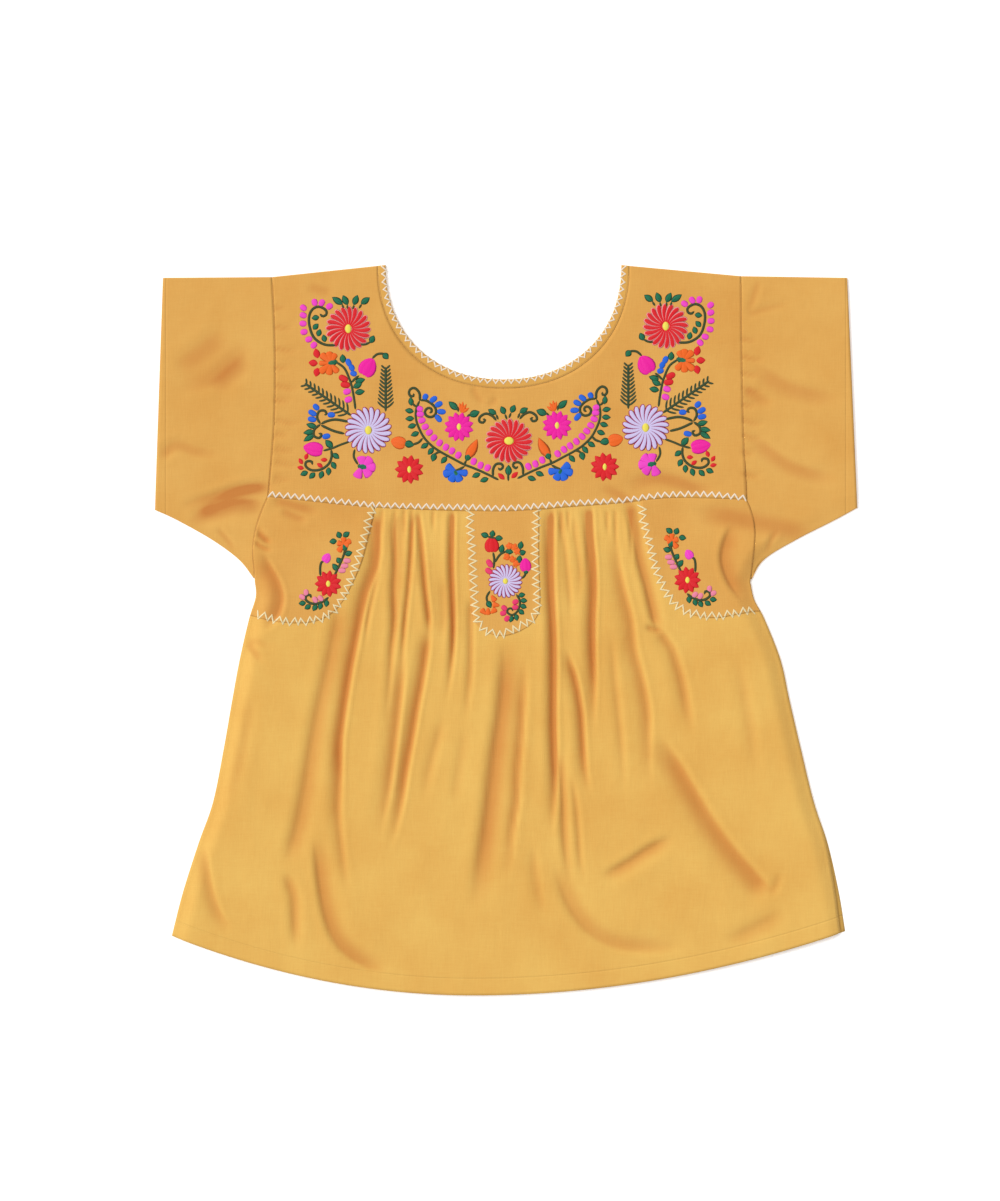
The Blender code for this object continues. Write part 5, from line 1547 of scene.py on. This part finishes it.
# %% [markdown]
# ## The floss
# Embroidery floss is mercerised cotton: dyed in strong colours, with a soft shine. The threads of a
# filled shape lie side by side across it, 0.35 mm apart. They are drawn at 0.8 mm here, since finer
# ones would vanish in a picture of the whole blouse.

# %% Floss
THREAD_GAP = 0.8  # millimetres
PAINTED_GAP_SHADE, PAINTED_BACK_HIGHLIGHT = 0.80, 1.06  # painted shade at a thread's sides and painted highlight on its back, as shares of its colour
FLOSS = {
    "red": "#E51F28",
    "pale_pink": "#F59C9C",
    "wine": "#B02A66",
    "lilac": "#D8CCF4",
    "magenta": "#F81CA6",
    "orchid": "#FA46CC",
    "rose": "#F23A70",
    "soft_pink": "#F58AA6",
    "orange": "#F96C20",
    "rust": "#DB6420",
    "blue": "#2468E0",
    "leaf_green": "#1B7150",
    "fern_green": "#3A4C30",
    "leaf_edge": "#20452F",
    "stem_brown": "#3E4A2A",
    "yellow": "#F7E65C",
    "white_thread": "#FBE9D2",
    "cream_thread": "#F9E6B4",
    "seam_thread": "#CF9447",
    "band_thread": "#DCA556",
}


def floss(name, colour):
    """Dyed floss: fine ridges across each filled shape, with painted shade between the threads and a painted
    highlight on their backs.
    """
    material, shader = new_material(f"mercerised_floss_{name}")
    place = add_node(material, "ShaderNodeAttribute", attribute_name="stitch_mm").outputs["Vector"]
    ridges = add_node(material, "ShaderNodeTexWave", [("Vector", place)], wave_type="BANDS",
                      bands_direction="X", wave_profile="SIN", Scale=math.pi / 10 / THREAD_GAP,
                      Distortion=0.6, Detail=1.0)
    base = from_hex(colour)
    # Painted shade in the gaps between threads and a painted highlight on each thread's back, from the same
    # ridges as the bump.
    painted_thread_light = add_node(material, "ShaderNodeMix", [(0, ridges.outputs["Fac"])], data_type="RGBA")
    painted_thread_light.inputs[6].default_value = (*[c * PAINTED_GAP_SHADE for c in base[:3]], 1.0)
    painted_thread_light.inputs[7].default_value = (*[min(1.0, c * PAINTED_BACK_HIGHLIGHT) for c in base[:3]], 1.0)
    material.node_tree.links.new(shader.inputs["Base Color"], painted_thread_light.outputs[2])
    bump = add_node(material, "ShaderNodeBump", [("Height", ridges.outputs["Fac"])], Strength=0.5,
                    Distance=0.0002)
    material.node_tree.links.new(shader.inputs["Normal"], bump.outputs[0])
    shader.inputs["Roughness"].default_value = 0.48
    shader.inputs["Specular IOR Level"].default_value = 0.22
    shader.inputs["Sheen Weight"].default_value = 0.04
    return material


threads = []
for colour, shape in STITCHES.items():
    bmesh.ops.recalc_face_normals(shape, faces=shape.faces)
    mesh = bpy.data.meshes.new("stitches_" + colour)
    shape.to_mesh(mesh)
    shape.free()
    mesh.shade_smooth()
    mesh.materials.append(floss(colour, FLOSS[colour]))
    piece = bpy.data.objects.new("stitches_" + colour, mesh)
    bpy.context.scene.collection.objects.link(piece)
    threads.append(piece)
print(len(threads), "colours of floss")

# %% [markdown]
# ## Camera, table and light
# The blouse was photographed from straight above. A long lens far away keeps its edges square, and the
# table is a plain pale plane. A lamp close by would light one side of the table more than the other, so
# the key is a broad distant one, half way up the sky on the left, and the folds show their shaded walls.

# %% Camera, table and light
BACKLIGHT = 0.28  # the table glows a little, as a light table does, so shadows on it stay faint
PHOTO_WIDTH, PHOTO_HEIGHT = 1000, 1201  # pixels
FRAME_HEIGHT = PHOTO_HEIGHT * PIXEL * MM
CAMERA_HEIGHT = 3.2
FRAME_X, FRAME_Y = as_drawn(PHOTO_WIDTH / 2, PHOTO_HEIGHT / 2)
SENSOR = 36.0
TABLE_REACH = 6.0
SKY_STRENGTH = 0.52

lens = bpy.data.cameras.new("camera")
lens.sensor_fit = "VERTICAL"
lens.sensor_height = SENSOR
lens.lens = SENSOR * CAMERA_HEIGHT / FRAME_HEIGHT
camera = bpy.data.objects.new("camera", lens)
camera.location = (FRAME_X * MM, FRAME_Y * MM, CAMERA_HEIGHT)
bpy.context.scene.collection.objects.link(camera)
bpy.context.scene.camera = camera

table = bmesh.new()
bmesh.ops.create_grid(table, x_segments=1, y_segments=1, size=TABLE_REACH)
mesh = bpy.data.meshes.new("table")
table.to_mesh(mesh)
table.free()
floor = bpy.data.objects.new("table", mesh)
bpy.context.scene.collection.objects.link(floor)
paper, shader = new_material("pale_table")
shader.inputs["Base Color"].default_value = from_hex("#FFFFFF")
shader.inputs["Roughness"].default_value = 0.9
shader.inputs["Emission Color"].default_value = (1, 1, 1, 1)
shader.inputs["Emission Strength"].default_value = BACKLIGHT
mesh.materials.append(paper)

KEY_FROM = Vector((-0.85, 0.45, 1.0))
KEY_STRENGTH, KEY_ANGLE = 2.2, 0.6
key = bpy.data.lights.new("key", "SUN")
key.energy = KEY_STRENGTH
key.angle = KEY_ANGLE
light = bpy.data.objects.new("key", key)
light.rotation_euler = KEY_FROM.to_track_quat("Z", "Y").to_euler()
bpy.context.scene.collection.objects.link(light)
world = bpy.data.worlds.new("studio")
world.use_nodes = True
world.node_tree.nodes["Background"].inputs["Color"].default_value = (1, 1, 1, 1)
world.node_tree.nodes["Background"].inputs["Strength"].default_value = SKY_STRENGTH
bpy.context.scene.world = world
bpy.context.scene.view_settings.view_transform = "Standard"
print("camera", camera.location)

# %% [markdown]
# ## Pieces and their solids
# Each cotton piece stands for one solid, which is hidden, and hangs with the threads from one root. The
# table lists a flat size in metres for each: widths and lengths are the pieces' extents, rounded up, and
# wider than they lie on the front and back. Areas are those of the cloth as modelled, with about 7% more
# on the front and 1% on the back for their gathers. The sleeves and the yoke are given all round. The
# neck band lies 7 mm wide and says 10 mm, the least that a sheet may say.

# %% Pieces and their solids
Cut = namedtuple("Cut", "piece node slot flat area rests_on")
SLEEVE_CUT = (0.460, 0.112)
CUTS = (
    Cut(body_front, "body_front", "cotton", (0.640, 0.460), 0.245, ["blouse_back"]),
    Cut(body_back, "body_back", "cotton", (0.620, 0.452), 0.226, ["table"]),
    Cut(yoke, "yoke", "cotton", (0.432, 0.442), 0.139, ["blouse_front"]),
    Cut(neck_band, "neck_band", "cotton_doubled", (0.010, 0.680), 0.0058, ["table"]),
    Cut(sleeves[0], "sleeve_left", "cotton", SLEEVE_CUT, 0.048, ["table"]),
    Cut(sleeves[1], "sleeve_right", "cotton", SLEEVE_CUT, 0.047, ["table"]),
    Cut(patches[0], "patch_left", "cotton_doubled", (0.113, 0.115), 0.0102, ["blouse_front"]),
    Cut(patches[1], "patch_right", "cotton_doubled", (0.108, 0.110), 0.0095, ["blouse_front"]),
    Cut(patches[2], "patch_centre", "cotton_doubled", (0.066, 0.115), 0.0069, ["blouse_front"]),
)
for cut in CUTS:
    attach(cut.piece, "root")
    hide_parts(cut.node)

for piece in threads:
    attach(piece, "root")
